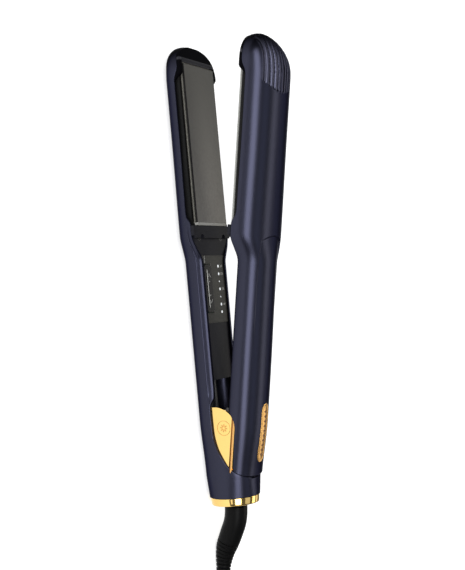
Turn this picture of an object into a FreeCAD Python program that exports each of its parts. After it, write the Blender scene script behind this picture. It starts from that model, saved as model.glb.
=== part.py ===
import FreeCAD, Part
import math
import os

from FreeCAD import Vector

# A wide-plate flat iron, lying open on its lower arm. Millimetres.
# Working frame: x runs from the rear of the end ring (0) to the tip, y is the near side (+),
# z = 0 is the face of the lower heater plate. Both arms are built as if lying outer side down,
# and the upper one is then mirrored upwards and swung open about the hinge.
# export() moves everything so that the origin is the bottom centre of the iron.

LENGTH = 282.0
BASE_Z = -18.0
PIVOT_X = 37.2
OPEN_DEG = 9.86
SPRING_X = 52.0

# Arm casing: half widths, centre heights and half depths of its rounded sections.
BARREL_HALF_W = 15.2
HANDLE_HALF_W = 16.5
HEAD_HALF_W = 22.0
HANDLE_HALF_D = 11.5
HEAD_HALF_D = 16.0
HEAD_CENTRE = -2.0
WALL = 1.8
SHOULDER = (147.0, 165.0)
NOSE_FAR_X = 262.0
NOSE_FAR_BEND = 1.24
NOSE_NEAR_X = 267.0
NOSE_LOW_X = 257.0
TIP_Y = 7.5
TIP_Z = -6.0
RING_LEN = 4.9
RING_CENTRE = -1.3
SECTION_POINTS = 28

# Edge lines of the casings, seen from the side.
RIM_HANDLE = -1.1
RIM_HEAD = -5.2
RIM_TIP = -2.2
CAP_TOP = -0.3
UPPER_RIM = -3.9

# Heater plate, tray and inner cover.
PLATE_X0 = 171.1
PLATE_L = 97.0
PLATE_HALF_W = 18.45
PLATE_T = 2.2
PLATE_TRAVEL = 0.8
TRAY_HALF_W = 20.0
TRAY_WALL = 1.1
TRAY_FLOOR = -11.0
COVER_TOP = -2.6
COVER_T = 1.8
COVER_X0 = 76.0
PANEL_X0 = 110.3
PANEL_L = 41.2
PANEL_HALF_W = 14.3
PANEL_T = 0.9
LED_X0 = 116.6
LED_X1 = 144.8
LED_Y = -6.1
LED_COUNT = 7
KEY_X0 = 116.8
KEY_L = 29.2
KEY_Y0 = 3.6
KEY_W = 8.2

# Hinge.
PIN_R = 2.5
PIN_CLEARANCE = 0.05
LUG_INNER = 8.4
LUG_OUTER = 11.3
CHEEK_INNER = 11.6
CHEEK_OUTER = 13.3
GOLD_INNER = 13.4
GOLD_FACE = 14.6
GOLD_EDGE_Z = -9.7
POCKET_HALF_W = 15.0

# Swivel and mains cord.
SWIVEL_R = 7.6
CORD_R = 3.5
CORD_LIE = BASE_Z + CORD_R + 0.05

# Hank of the put-away cord.
HANK_L = 140.0
HANK_W = 64.0
HANK_H = 28.0
HANK_X1 = -112.0
HANK_Y = 0.0
HANK_Z0 = BASE_Z + 1.0
HANK_TOP = HANK_Z0 + HANK_H
PLUG_X = -163.0
PLUG_Y = -14.0
PLUG_PIN_R = 2.4
PLUG_PIN_L = 16.0
PLUG_PIN_Y = 9.5

LOWER = {"handle": -6.5, "rear": (15.9, -1.0, 16.1, 2.3), "head": HEAD_CENTRE}
UPPER = {"handle": -9.3, "rear": (16.1, -7.0, 11.8, 2.3), "head": HEAD_CENTRE - 1.0}

BODIES = {}


# ---------------------------------------------------------------- helpers

def ease(x, start, end):
    """0 before start, 1 after end, smooth between."""
    t = min(max((x - start) / (end - start), 0.0), 1.0)
    return t * t * (3.0 - 2.0 * t)


def mix(a, b, t):
    return a + (b - a) * t


def box(x0, x1, y0, y1, z0, z1):
    return Part.makeBox(x1 - x0, y1 - y0, z1 - z0, Vector(x0, y0, z0))


def rod_y(x, z, radius, y0, y1):
    return Part.makeCylinder(radius, y1 - y0, Vector(x, y0, z), Vector(0, 1, 0))


def rod_z(x, y, radius, z0, z1):
    return Part.makeCylinder(radius, z1 - z0, Vector(x, y, z0), Vector(0, 0, 1))


def rod_x(y, z, radius, x0, x1):
    return Part.makeCylinder(radius, x1 - x0, Vector(x0, y, z), Vector(1, 0, 0))


def tube_x(y, z, outer, inner, x0, x1):
    return rod_x(y, z, outer, x0, x1).cut(rod_x(y, z, inner, x0 - 1.0, x1 + 1.0))


def side_outline(points, y0, y1):
    """A prism across the iron from a side-view outline: (x, z) corners, or ('curve', corners...)."""
    edges = []
    here = None
    for item in points:
        if item[0] == "curve":
            stops = [here] + [Vector(x, y0, z) for x, z in item[1:]]
            curve = Part.BSplineCurve()
            curve.interpolate(stops)
            edges.append(curve.toShape())
            here = stops[-1]
            continue
        there = Vector(item[0], y0, item[1])
        if here is not None:
            edges.append(Part.makeLine(here, there))
        here = there
    first = edges[0].Vertexes[0].Point
    edges.append(Part.makeLine(here, first))
    return Part.Face(Part.Wire(edges)).extrude(Vector(0, y1 - y0, 0))


def both_sides(shape):
    """The shape and its mirror image in the plane y = 0."""
    return Part.makeCompound([shape, shape.mirror(Vector(0, 0, 0), Vector(0, 1, 0))])


def fuse_all(shapes):
    result = shapes[0]
    for shape in shapes[1:]:
        result = result.fuse(shape)
    return result.removeSplitter()


# ---------------------------------------------------------------- arm casing

def arm_section(arm, x):
    """Centre (y, z), half sizes and squareness of a casing section."""
    rear_w, rear_z, rear_d, rear_n = arm["rear"]
    out = ease(x, 18.0, 52.0)
    half_w = mix(rear_w, HANDLE_HALF_W, out)
    centre = mix(rear_z, arm["handle"], out)
    half_d = mix(rear_d, HANDLE_HALF_D, out)
    square = mix(rear_n, 2.0, out)
    wide = ease(x, *SHOULDER)
    half_w = mix(half_w, HEAD_HALF_W + 0.9 * ease(x, 225.0, 168.0), wide)
    centre = mix(centre, arm["head"], wide)
    half_d = mix(half_d, HEAD_HALF_D, wide)
    square = mix(square, 2.3, wide)
    if x < 18.0:
        back = (18.0 - x) / (18.0 - RING_LEN)
        half_w = mix(half_w, BARREL_HALF_W, back)
        centre = mix(centre, RING_CENTRE, back)
        half_d = mix(half_d, BARREL_HALF_W + 0.3, back)
        square = mix(square, 2.0, back)
    return 0.0, centre, half_w, half_d, square


def quarter(x, start, end):
    """1 at start, falling round a quarter circle to 0 at end."""
    t = min(max((x - start) / (end - start), 0.0), 1.0)
    return math.sqrt(1.0 - t * t)


def nose_limits(arm, x, inset):
    """The near, far, low and high limits of the casing, which close on the tip."""
    mid_y, mid_z, half_w, half_d, square = arm_section(arm, x)
    half_w -= inset
    half_d -= inset
    end = LENGTH - inset
    near = TIP_Y + (mid_y + half_w - TIP_Y) * quarter(x, NOSE_NEAR_X, end)
    far = TIP_Y + (mid_y - half_w - TIP_Y) * quarter(x, NOSE_FAR_X, end) ** NOSE_FAR_BEND
    low = TIP_Z + (mid_z - half_d - TIP_Z) * quarter(x, NOSE_LOW_X, end)
    high = TIP_Z + (mid_z + half_d - TIP_Z) * quarter(x, NOSE_LOW_X, end)
    return near, far, low, high, square


def section_wire(arm, x, inset):
    near, far, low, high, square = nose_limits(arm, x, inset)
    mid_y, half_w = 0.5 * (near + far), 0.5 * (near - far)
    mid_z, half_d = 0.5 * (high + low), 0.5 * (high - low)
    points = []
    for k in range(SECTION_POINTS):
        angle = 2.0 * math.pi * k / SECTION_POINTS
        c, s = math.cos(angle), math.sin(angle)
        y = mid_y + half_w * math.copysign(abs(c) ** (2.0 / square), c)
        z = mid_z + half_d * math.copysign(abs(s) ** (2.0 / square), s)
        points.append(Vector(x, y, z))
    even = [float(k) for k in range(SECTION_POINTS + 1)]
    curve = Part.BSplineCurve()
    curve.interpolate(Points=points, PeriodicFlag=True, Parameters=even)
    return Part.Wire(curve.toShape())


def arm_body(arm, inset, whole=False):
    """The solid inside the casing's outer surface, less inset all round, from x = 20 or with the barrel end too."""
    key = (id(arm), inset, whole)
    if key not in BODIES:
        BODIES[key] = lofted_body(arm, inset, whole)
    return BODIES[key]


def lofted_body(arm, inset, whole):
    end = LENGTH - inset
    stations = [RING_LEN, 12.0] if whole else []
    stations += [20.0, 30.0, 40.0, 52.0, 65.0, 80.0, 95.0, 110.0, 125.0, 138.0]
    stations += [147.0, 151.0, 155.0, 159.0, 163.0, 167.0, 172.0, 182.0, 194.0, 208.0, 222.0, 236.0, 248.0]
    nose = [0.2, 0.4, 0.57, 0.71, 0.82, 0.9, 0.955, 0.985, 0.998]
    stations += [mix(257.0, end, t) for t in nose]
    return Part.makeLoft([section_wire(arm, x, inset) for x in stations], True, False)


def lower_rim():
    """Side-view region below the lower casing's edge line, from the barrel seam to the tip."""
    return side_outline([
        (RING_LEN, 30.0),
        (15.3, 30.0),
        (15.3, 16.5),
        ("curve", (15.7, 15.2), (17.0, 13.2), (18.4, 11.2), (23.2, 5.0), (29.0, 1.0), (36.0, -2.3),
         (44.0, -3.9), (52.0, -4.1)),
        (59.0, -4.1),
        ("curve", (61.5, -3.6), (66.0, RIM_HANDLE - 0.3), (72.0, RIM_HANDLE)),
        (150.0, RIM_HANDLE),
        ("curve", (156.0, -1.6), (162.0, RIM_TIP)),
        (170.0, RIM_TIP),
        ("curve", (171.6, -2.6), (175.4, RIM_HEAD + 0.4), (178.0, RIM_HEAD)),
        (256.0, RIM_HEAD),
        ("curve", (259.0, RIM_HEAD + 0.5), (263.0, -2.8), (266.0, RIM_TIP)),
        (LENGTH + 5.0, RIM_TIP),
        (LENGTH + 5.0, -40.0),
        (RING_LEN, -40.0),
    ], -40.0, 40.0)


def upper_rim():
    """The same for the upper arm, which is drawn outer side down and ends at the barrel seam."""
    return side_outline([
        (18.9, -30.0),
        (18.9, -18.6),
        ("curve", (20.8, -14.3), (23.0, -10.4)),
        (24.5, GOLD_EDGE_Z),
        (48.6, GOLD_EDGE_Z),
        ("curve", (52.3, -8.8), (55.6, -6.4), (57.6, UPPER_RIM)),
        (150.0, UPPER_RIM),
        ("curve", (156.0, -3.2), (162.0, RIM_TIP)),
        (170.0, RIM_TIP),
        ("curve", (171.6, -2.6), (175.4, RIM_HEAD + 0.4), (178.0, RIM_HEAD)),
        (256.0, RIM_HEAD),
        ("curve", (259.0, RIM_HEAD + 0.5), (263.0, -2.8), (266.0, RIM_TIP)),
        (LENGTH + 5.0, RIM_TIP),
        (LENGTH + 5.0, -30.0),
    ], -40.0, 40.0)


def casing(arm, rim):
    """The wall of an arm below its edge line, solid behind x = 12."""
    hollow = arm_body(arm, WALL, whole=True).cut(box(0.0, 12.0, -40, 40, -40, 40))
    return arm_body(arm, 0.0, whole=True).cut(hollow).common(rim)


def lower_shell():
    shell = casing(LOWER, lower_rim())
    shell = shell.cut(box(18.5, 66.0, -POCKET_HALF_W, POCKET_HALF_W, -10.0, 20.0))
    shell = shell.cut(plate_well())
    return shell.cut(rod_x(0, RING_CENTRE, 9.4, 0.0, 14.0))


def upper_shell():
    shell = casing(UPPER, upper_rim()).cut(plate_well())
    return shell.cut(box(10.0, 56.0, -POCKET_HALF_W, POCKET_HALF_W, -16.0, 5.0))


def head_cap(arm, x0, x1, top):
    """The band of the casing between its cut rim and the plate plane."""
    return arm_body(arm, 0.05).common(box(x0, x1, -30, 30, RIM_TIP + 0.02, top))


def tip_cap(arm):
    cap = head_cap(arm, 262.5, LENGTH, CAP_TOP)
    hole = box(250.0, PLATE_X0 + PLATE_L + 1.5, -TRAY_HALF_W - 0.1, TRAY_HALF_W + 0.1, -8.0, 3.0)
    plug = arm_body(arm, WALL + 0.1).common(box(269.9, LENGTH, -30, 30, -8.0, RIM_TIP + 0.02))
    whole = fuse_all([cap.cut(hole), plug]).cut(plate_well())
    return max(whole.Solids, key=lambda solid: solid.Volume)


def inner_cover(arm, rim_top):
    """The flat cover between the plate and the hinge, with its raised collar at the shoulder."""
    top = rim_top - 1.5
    inside = arm_body(arm, WALL + 0.15)
    cover = inside.common(box(COVER_X0, 169.4, -30, 30, top - COVER_T, top))
    collar = head_cap(arm, 163.5, 169.4, CAP_TOP)
    neck = inside.common(box(162.0, 169.4, -30, 30, top - COVER_T, CAP_TOP))
    cover = fuse_all([cover, collar, neck])
    return cover


# ---------------------------------------------------------------- plates and heaters

def plate_well():
    """The space that the floating plate needs in the parts round it."""
    gap = 0.4
    x1 = PLATE_X0 + PLATE_L + gap
    return box(PLATE_X0 - gap, x1, -PLATE_HALF_W - gap, PLATE_HALF_W + gap, -PLATE_T - PLATE_TRAVEL - 0.3, 5.0)


def plate_tray(arm):
    """Open tray behind the plate, which follows the inside of the casing."""
    x0, x1 = PLATE_X0 - 1.5, PLATE_X0 + PLATE_L + 1.5
    outer = box(x0, x1, -TRAY_HALF_W, TRAY_HALF_W, TRAY_FLOOR, -2.5)
    outer = outer.common(arm_body(arm, WALL + 0.15))
    inner = box(x0 + 1.1, x1 - 1.1, -TRAY_HALF_W + TRAY_WALL, TRAY_HALF_W - TRAY_WALL, TRAY_FLOOR + 1.5, 0.0)
    inner = inner.common(arm_body(arm, WALL + 0.15 + TRAY_WALL))
    return outer.cut(inner).cut(plate_well())


def heater_plate():
    x1 = PLATE_X0 + PLATE_L
    plate = box(PLATE_X0, x1, -PLATE_HALF_W, PLATE_HALF_W, -PLATE_T, 0.0)
    long_edges = []
    for edge in plate.Edges:
        mid = edge.CenterOfMass
        if mid.z > -0.01 and abs(abs(mid.y) - PLATE_HALF_W) < 0.01:
            long_edges.append(edge)
    plate = plate.makeFillet(1.2, long_edges)
    ends = []
    for edge in plate.Edges:
        mid = edge.CenterOfMass
        if mid.z > -0.01 and (abs(mid.x - PLATE_X0) < 0.01 or abs(mid.x - x1) < 0.01) and edge.Length > 20:
            ends.append(edge)
    plate = plate.makeChamfer(0.9, ends)
    rails = []
    for side in (-1, 1):
        y = side * 11.5
        rails.append(box(PLATE_X0 + 6, x1 - 6, y - 0.8, y + 0.8, -5.6, -PLATE_T))
    return fuse_all([plate] + rails)


def ptc_heater():
    cells = []
    for k in range(2):
        x0 = PLATE_X0 + 12 + 38 * k
        cells.append(box(x0, x0 + 34, -8.5, 8.5, -4.6, -PLATE_T))
    return Part.makeCompound(cells)


def insulator():
    return box(PLATE_X0 + 9, PLATE_X0 + PLATE_L - 9, -10.0, 10.0, -5.2, -4.6)


def clamp_bar():
    bar = box(PLATE_X0 + 8, PLATE_X0 + PLATE_L - 8, -10.4, 10.4, -5.9, -5.2)
    return bar


def plate_sensor():
    bead = Part.makeSphere(1.0, Vector(PLATE_X0 + 87, 0, -3.4))
    leads = [rod_x(y, -3.4, 0.35, PLATE_X0 + 87.8, PLATE_X0 + 92) for y in (-0.5, 0.5)]
    return fuse_all([bead] + leads)


def plate_springs():
    pads = []
    for x in (PLATE_X0 + 16, PLATE_X0 + PLATE_L - 16):
        for y in (-5.5, 5.5):
            pad = rod_z(x, y, 2.4, TRAY_FLOOR + 1.5, -5.9)
            pads.append(pad.cut(rod_z(x, y, 1.5, TRAY_FLOOR, -5.0)))
    return Part.makeCompound(pads)


# ---------------------------------------------------------------- controls

def panel_cut(z):
    """Height z measured on the control panel's top face."""
    return COVER_TOP + 0.35 + z


def control_panel():
    x1 = PANEL_X0 + PANEL_L
    top = panel_cut(0.0)
    panel = box(PANEL_X0, x1, -PANEL_HALF_W, PANEL_HALF_W, top - PANEL_T, top)
    panel = panel.common(arm_body(LOWER, WALL + 0.25))
    key_hole = box(KEY_X0 - 0.35, KEY_X0 + KEY_L + 0.35, KEY_Y0 - 0.35, KEY_Y0 + KEY_W + 0.35, -20, 5)
    panel = panel.cut(key_hole)
    for x in led_places():
        panel = panel.cut(rod_z(x, LED_Y, led_radius(x), -20, 5))
    return panel


def led_places():
    return [mix(LED_X0, LED_X1, k / (LED_COUNT - 1)) for k in range(LED_COUNT)]


def led_radius(x):
    """The third and fifth lights from the tip are smaller."""
    index = round((LED_X1 - x) / (LED_X1 - LED_X0) * (LED_COUNT - 1))
    return 0.5 if index in (2, 4) else 0.85


def light_guides():
    top = panel_cut(0.0)
    return Part.makeCompound([rod_z(x, LED_Y, led_radius(x) - 0.02, top - 5.0, top) for x in led_places()])


def rocker_key():
    top = panel_cut(0.55)
    x1 = KEY_X0 + KEY_L
    mid = 0.5 * (KEY_X0 + x1)
    key = box(KEY_X0, x1, KEY_Y0, KEY_Y0 + KEY_W, top - 2.2, top)
    corners = [e for e in key.Edges if abs(e.Vertexes[0].Point.z - e.Vertexes[-1].Point.z) > 1.0]
    key = key.makeFillet(2.2, corners)
    ridge = box(KEY_X0 + 3, x1 - 3, KEY_Y0 + 5.6, KEY_Y0 + 6.2, top, top + 0.3)
    web = box(mid - 1.6, mid + 1.6, KEY_Y0 + 1.0, KEY_Y0 + KEY_W - 1.0, top - 3.9, top - 2.2)
    axle = rod_y(mid, top - 4.0, 1.0, KEY_Y0 - 0.9, KEY_Y0 + KEY_W + 0.9)
    feet = [rod_z(mid + side * 10, KEY_Y0 + KEY_W / 2, 1.1, top - 4.6, top - 2.2) for side in (-1, 1)]
    return fuse_all([key, ridge, web, axle] + feet)


def key_axis():
    return KEY_X0 + KEY_L / 2, panel_cut(0.55) - 4.0


def control_board():
    top = panel_cut(0.0) - 7.0
    board = box(84.0, 158.0, -9.0, 9.6, top - 1.2, top)
    return board


def board_parts():
    """Chips and capacitors on the underside of the board."""
    under = panel_cut(0.0) - 8.2
    sizes = [(90, -4, 7, 7, 1.4), (104, -3, 6, 5, 1.6), (118, -4, 9, 6, 2.0), (140, -2, 8, 6, 1.8)]
    return Part.makeCompound([box(x, x + dx, y, y + dy, under - dz, under) for x, y, dx, dy, dz in sizes])


def tact_switches():
    """Two push switches under the ends of the rocker key."""
    base = panel_cut(0.0) - 7.0
    x_mid = KEY_X0 + KEY_L / 2
    foot = panel_cut(0.55) - 4.6
    switches = []
    for side in (-1, 1):
        x = x_mid + side * 10
        y = KEY_Y0 + KEY_W / 2
        switches.append(box(x - 2.4, x + 2.4, y - 2.4, y + 2.4, base, base + 1.2))
        switches.append(rod_z(x, y, 1.2, base + 1.2, foot - 0.75))
    return Part.makeCompound(switches)


def key_bearings():
    """Two posts that carry the rocker's axle, standing on the board."""
    x_mid, z_axis = key_axis()
    base = panel_cut(0.0) - 7.0
    posts = []
    for y0 in (KEY_Y0 - 0.75, KEY_Y0 + KEY_W + 0.15):
        post = box(x_mid - 2.2, x_mid + 2.2, y0, y0 + 0.6, base, z_axis + 1.6)
        posts.append(post.cut(rod_y(x_mid, z_axis, 1.05, y0 - 1, y0 + 2)))
    return Part.makeCompound(posts)


def cover_screw(x, y, top):
    head = rod_z(x, y, 1.9, top - 1.0, top)
    slot = box(x - 1.3, x + 1.3, y - 0.3, y + 0.3, top - 0.6, top + 1)
    cross = box(x - 0.3, x + 0.3, y - 1.3, y + 1.3, top - 0.6, top + 1)
    return fuse_all([head, rod_z(x, y, 0.95, top - 7.0, top - 1.0)]).cut(slot).cut(cross)


def cover_screws(top):
    return Part.makeCompound([cover_screw(162.3, y, top) for y in (-13.0, 13.0)])


def screw_wells(cover, top):
    """Counterbored holes in the inner cover for its two screws."""
    for y in (-13.0, 13.0):
        cover = cover.cut(rod_z(162.3, y, 2.0, top - 1.05, top + 5))
        cover = cover.cut(rod_z(162.3, y, 1.05, top - 12, top + 1))
    return cover


# ---------------------------------------------------------------- hinge

def hinge_bracket():
    """The lower arm's two lugs on a base plate, with a seat for the opening spring."""
    inside = arm_body(LOWER, WALL + 0.1)
    parts = [box(27.0, 70.0, -12.5, 12.5, -15.9, -13.2)]
    for side in (-1, 1):
        y0, y1 = sorted((side * LUG_INNER, side * LUG_OUTER))
        parts.append(rod_y(PIVOT_X, 0, 7.4, y0, y1))
        parts.append(box(PIVOT_X - 7.4, PIVOT_X + 7.4, y0, y1, -15.0, 0.0))
    parts.append(rod_z(SPRING_X, 0, 2.2, -13.3, -9.5))
    bracket = fuse_all(parts).common(inside)
    return bracket.cut(rod_y(PIVOT_X, 0, PIN_R, -20, 20))


def hinge_pin():
    pin = rod_y(PIVOT_X, 0, PIN_R, -CHEEK_OUTER, CHEEK_OUTER)
    return pin


def hinge_sleeve():
    """A spacer on the pin between the two lugs."""
    sleeve = rod_y(PIVOT_X, 0, 4.0, -LUG_INNER + 0.05, LUG_INNER - 0.05)
    return sleeve.cut(rod_y(PIVOT_X, 0, PIN_R, -20, 20))


def hinge_frame():
    """The upper arm's two cheeks, joined by a spring bar and a mounting plate. Drawn outer side down."""
    outline = side_outline([
        (PIVOT_X - 4.0, -7.0),
        (PIVOT_X + 4.0, 7.0),
        (54.0, 5.0),
        (57.0, -1.0),
        (74.0, -7.0),
        (74.0, -17.0),
        (54.0, -17.0),
    ], CHEEK_INNER, CHEEK_OUTER)
    cheek = outline.fuse(rod_y(PIVOT_X, 0, 8.0, CHEEK_INNER, CHEEK_OUTER))
    bar = box(47.5, 57.0, -CHEEK_OUTER, CHEEK_OUTER, -8.6, -6.4)
    plate = box(54.0, 74.0, -CHEEK_OUTER, CHEEK_OUTER, -12.6, -10.8)
    peg = rod_z(SPRING_X + 1.2, 0, 2.0, -6.5, -3.4)
    frame = fuse_all([both_sides(cheek), bar, plate, peg])
    room = fuse_all([
        arm_body(UPPER, WALL + 0.2),
        box(20, 48, -14, 14, -12, 12),
        box(20, 60, -14, 14, -3.5, 12),
    ])
    frame = frame.common(room)
    return frame.cut(rod_y(PIVOT_X, 0, PIN_R + PIN_CLEARANCE, -20, 20))


def gold_plate():
    """A side plate of the hinge, on the near side: flat face, raised band along the casing's edge."""
    outline = side_outline([
        (20.0, -5.0),
        ("curve", (21.3, -8.0), (24.2, GOLD_EDGE_Z + 0.1)),
        (48.7, GOLD_EDGE_Z + 0.1),
        ("curve", (52.2, -8.6), (55.5, -6.0), (58.2, -1.7), (59.4, 4.4)),
        (58.6, 9.4),
        ("curve", (47.0, 8.6), (37.0, 6.4), (28.0, 2.6), (20.5, -3.4)),
    ], 10.0, 20.0)
    face = outline.common(box(10, 70, GOLD_INNER, GOLD_FACE, -20, 20))
    band_points = [Vector(10, GOLD_INNER, -6.5), Vector(10, GOLD_FACE, -6.5)]
    band_points += [Vector(10, 16.3, GOLD_EDGE_Z), Vector(10, GOLD_INNER, GOLD_EDGE_Z)]
    band_points.append(band_points[0])
    band = Part.Face(Part.makePolygon(band_points)).extrude(Vector(60, 0, 0))
    band = band.common(outline).cut(box(10, 24.6, 0, 20, -20, 20))
    return fuse_all([face, band])


def opening_spring():
    foot, height, turns, wire = -13.0, 21.2, 7, 0.55
    helix = Part.makeHelix((height - 2 * wire) / turns, height - 2 * wire, 3.3)
    profile = Part.Wire(Part.makeCircle(wire, Vector(3.3, 0, 0), Vector(0, 1, 0)))
    spring = Part.Wire(helix.Edges).makePipeShell([profile], True, True)
    spring.translate(Vector(SPRING_X, 0, foot + wire + 0.1))
    return spring


# ---------------------------------------------------------------- barrel end and swivel

def end_ring():
    ring = Part.makeCone(14.6, 15.0, RING_LEN - 0.1, Vector(0, 0, RING_CENTRE), Vector(1, 0, 0))
    return ring.cut(rod_x(0, RING_CENTRE, SWIVEL_R + 0.35, -1, 10))


def swivel_bushing():
    return tube_x(0, RING_CENTRE, 9.4, SWIVEL_R + 0.06, RING_LEN + 0.1, 13.0)


def swivel_barrel():
    z = RING_CENTRE
    barrel = fuse_all([
        rod_x(0, z, SWIVEL_R, -1.6, 13.1),
        rod_x(0, z, SWIVEL_R + 1.2, 13.1, 14.4),
        rod_x(0, z, 4.0, 14.4, 24.0),
    ])
    return barrel.cut(rod_x(0, z, 3.0, -0.5, 30.0))


def contact_rings():
    rings = [tube_x(0, RING_CENTRE, 5.2, 4.0, x, x + 2.0) for x in (16.0, 20.0)]
    return Part.makeCompound(rings)


def contact_brushes():
    """Two sprung leaves that bear on the contact rings, on a small carrier."""
    z = RING_CENTRE
    brushes = []
    for x in (16.2, 20.2):
        brushes.append(box(x, x + 1.6, -2.0, 2.0, z - 7.0, z - 5.35))
    carrier = box(15.4, 22.6, -3.0, 3.0, z - 9.5, z - 7.0)
    return Part.makeCompound(brushes + [carrier])


def mains_wires():
    return Part.makeCompound([rod_x(y, -11.8, 0.9, 24.0, 96.0) for y in (-5.4, 5.4)])


def heater_leads():
    return Part.makeCompound([rod_x(y, -12.3, 0.8, 96.5, 186.0) for y in (-5.4, 5.4)])


def upper_leads():
    return Part.makeCompound([rod_x(y, -14.2, 0.8, 62.0, 186.0) for y in (-5.4, 5.4)])


def thermal_fuse():
    fuse = rod_x(-5.4, -14.2, 2.0, 116.0, 127.0).cut(rod_x(-5.4, -14.2, 0.8, 110.0, 130.0))
    return fuse


def badge():
    """A long oval plate let into the upper casing's back. Drawn outer side down."""
    y, half_w, x0, x1 = -1.0, 4.2, 27.5, 63.5
    oval = fuse_all([
        box(x0 + half_w, x1 - half_w, y - half_w, y + half_w, -40, -10),
        rod_z(x0 + half_w, y, half_w, -40, -10),
        rod_z(x1 - half_w, y, half_w, -40, -10),
    ])
    return arm_body(UPPER, -0.3).cut(arm_body(UPPER, 0.7)).common(oval)


# ---------------------------------------------------------------- cord

def routed_tube(route, radius, name):
    """A round tube along straight runs joined by tangent arcs as large as the runs allow."""
    points = [Vector(*p) for p in route]
    edges = []
    here = points[0]
    length = 0.0
    radii = []
    for before, corner, after in zip(points, points[1:], points[2:]):
        run_in = (corner - before).Length
        run_out = (after - corner).Length
        d_in = (corner - before).normalize()
        d_out = (after - corner).normalize()
        turn = d_in.getAngle(d_out)
        reach = 0.45 * min(run_in, run_out)
        start = corner - d_in * reach
        end = corner + d_out * reach
        bend = reach / math.tan(turn / 2)
        inward = (d_out - d_in).normalize()
        middle = corner + inward * (bend / math.cos(turn / 2) - bend)
        edges.append(Part.makeLine(here, start))
        edges.append(Part.Arc(start, middle, end).toShape())
        length += (start - here).Length + bend * turn
        radii.append(round(bend, 1))
        here = end
    edges.append(Part.makeLine(here, points[-1]))
    length += (points[-1] - here).Length
    path = Part.Wire(edges)
    profile = Part.Wire(Part.makeCircle(radius, points[0], points[1] - points[0]))
    tube = path.makePipeShell([profile], True, False)
    expected = math.pi * radius * radius * length
    print(name, "length", round(length, 1), "bend radii", radii, "volume ratio", round(tube.Volume / expected, 4))
    return tube


# Cord route: out of the swivel, down through the strain relief, then along the table to the hank.
LEAD_ROUTE = [
    (-2.0, 0.0, RING_CENTRE),
    (-10.0, 0.0, -1.9),
    (-18.5, 0.1, -5.0),
    (-33.0, 0.8, -12.6),
    (-52.0, 3.0, CORD_LIE + 0.1),
    (-68.0, 7.0, CORD_LIE + 0.02),
    (-86.0, 14.0, CORD_LIE),
    (-104.0, 22.5, CORD_LIE + 0.2),
    (-121.0, 26.5, HANK_Z0 + CORD_R),
]
TAIL_ROUTE = [
    (-222.0, -24.0, HANK_TOP - 1.0),
    (-206.0, -19.0, HANK_TOP + CORD_R + 0.6),
    (-191.0, -15.4, HANK_TOP + CORD_R + 2.0),
    (-174.5, PLUG_Y, HANK_TOP + 6.7),
]
RELIEF_STATIONS = [
    (-1.7, RING_CENTRE, 6.75),
    (-7.5, -1.7, 6.75),
    (-14.0, -3.9, 6.72),
    (-21.5, -7.5, 6.4),
    (-29.0, -10.9, 5.6),
    (-37.5, -13.2, 4.7),
    (-46.0, -13.9, 4.0),
]


def strain_relief():
    """Tapered boot along the first stretch of the cord."""
    wires = []
    last = len(RELIEF_STATIONS) - 1
    for k, (x, z, radius) in enumerate(RELIEF_STATIONS):
        x0, z0, _ = RELIEF_STATIONS[max(k - 1, 0)]
        x1, z1, _ = RELIEF_STATIONS[min(k + 1, last)]
        direction = Vector(x1 - x0, 0, z1 - z0) if k else Vector(-1, 0, 0)
        y = 1.6 * max(0.0, (-x - 25.0) / 24.0)
        wires.append(Part.Wire(Part.makeCircle(radius, Vector(x, y, z), direction)))
    boot = Part.makeLoft(wires, True, False)
    return boot


def cord_hank():
    """Outer shape of the folded cord: a long rounded pad."""
    half = HANK_W / 2
    x0, x1 = HANK_X1 - HANK_L, HANK_X1
    pad = fuse_all([
        box(x0 + half, x1 - half, HANK_Y - half, HANK_Y + half, HANK_Z0, HANK_TOP),
        rod_z(x0 + half, HANK_Y, half, HANK_Z0, HANK_TOP),
        rod_z(x1 - half, HANK_Y, half, HANK_Z0, HANK_TOP),
    ])
    return pad.makeFillet(3.0, pad.Edges)


def cord_tie():
    """Strap round the middle of the hank."""
    x = HANK_X1 - HANK_L / 2
    half = HANK_W / 2
    outer = box(x - 7, x + 7, -half - 0.9, half + 0.9, HANK_Z0 - 0.9, HANK_TOP + 0.9)
    outer = outer.makeFillet(3.4, [e for e in outer.Edges if abs(e.Length - 14.0) < 0.01])
    inner = box(x - 8, x + 8, -half - 0.02, half + 0.02, HANK_Z0 - 0.02, HANK_TOP + 0.02)
    inner = inner.makeFillet(2.6, [e for e in inner.Edges if abs(e.Length - 16.0) < 0.01])
    return outer.cut(inner)


def plug_body():
    """A two-pin mains plug: grip, wider face, and the cone where the cord goes in."""
    x, y, z = PLUG_X, PLUG_Y, HANK_TOP
    grip = box(x, x + 26, y - 10.5, y + 10.5, z + 0.05, z + 13.5)
    grip = grip.makeFillet(3.5, [e for e in grip.Edges if abs(e.Length - 26.0) < 0.01])
    neck = Part.makeCone(4.6, 6.2, 12.0, Vector(x - 11.9, y, z + 6.7), Vector(1, 0, 0))
    face = box(x + 24, x + 30, y - 13.6, y + 13.6, z + 0.05, z + 13.9)
    face = face.makeFillet(3.0, [e for e in face.Edges if abs(e.Length - 6.0) < 0.01])
    return fuse_all([grip, neck, face])


def plug_pins():
    pins = []
    for y in (PLUG_Y - PLUG_PIN_Y, PLUG_Y + PLUG_PIN_Y):
        base = Vector(PLUG_X + 30, y, HANK_TOP + 6.9)
        pin = Part.makeCylinder(PLUG_PIN_R, PLUG_PIN_L, base, Vector(1, 0, 0))
        tip = [e for e in pin.Edges if abs(e.CenterOfMass.x - base.x - PLUG_PIN_L) < 0.01]
        pins.append(pin.makeFillet(0.8, tip))
    return Part.makeCompound(pins)


# ---------------------------------------------------------------- assembly

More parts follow.
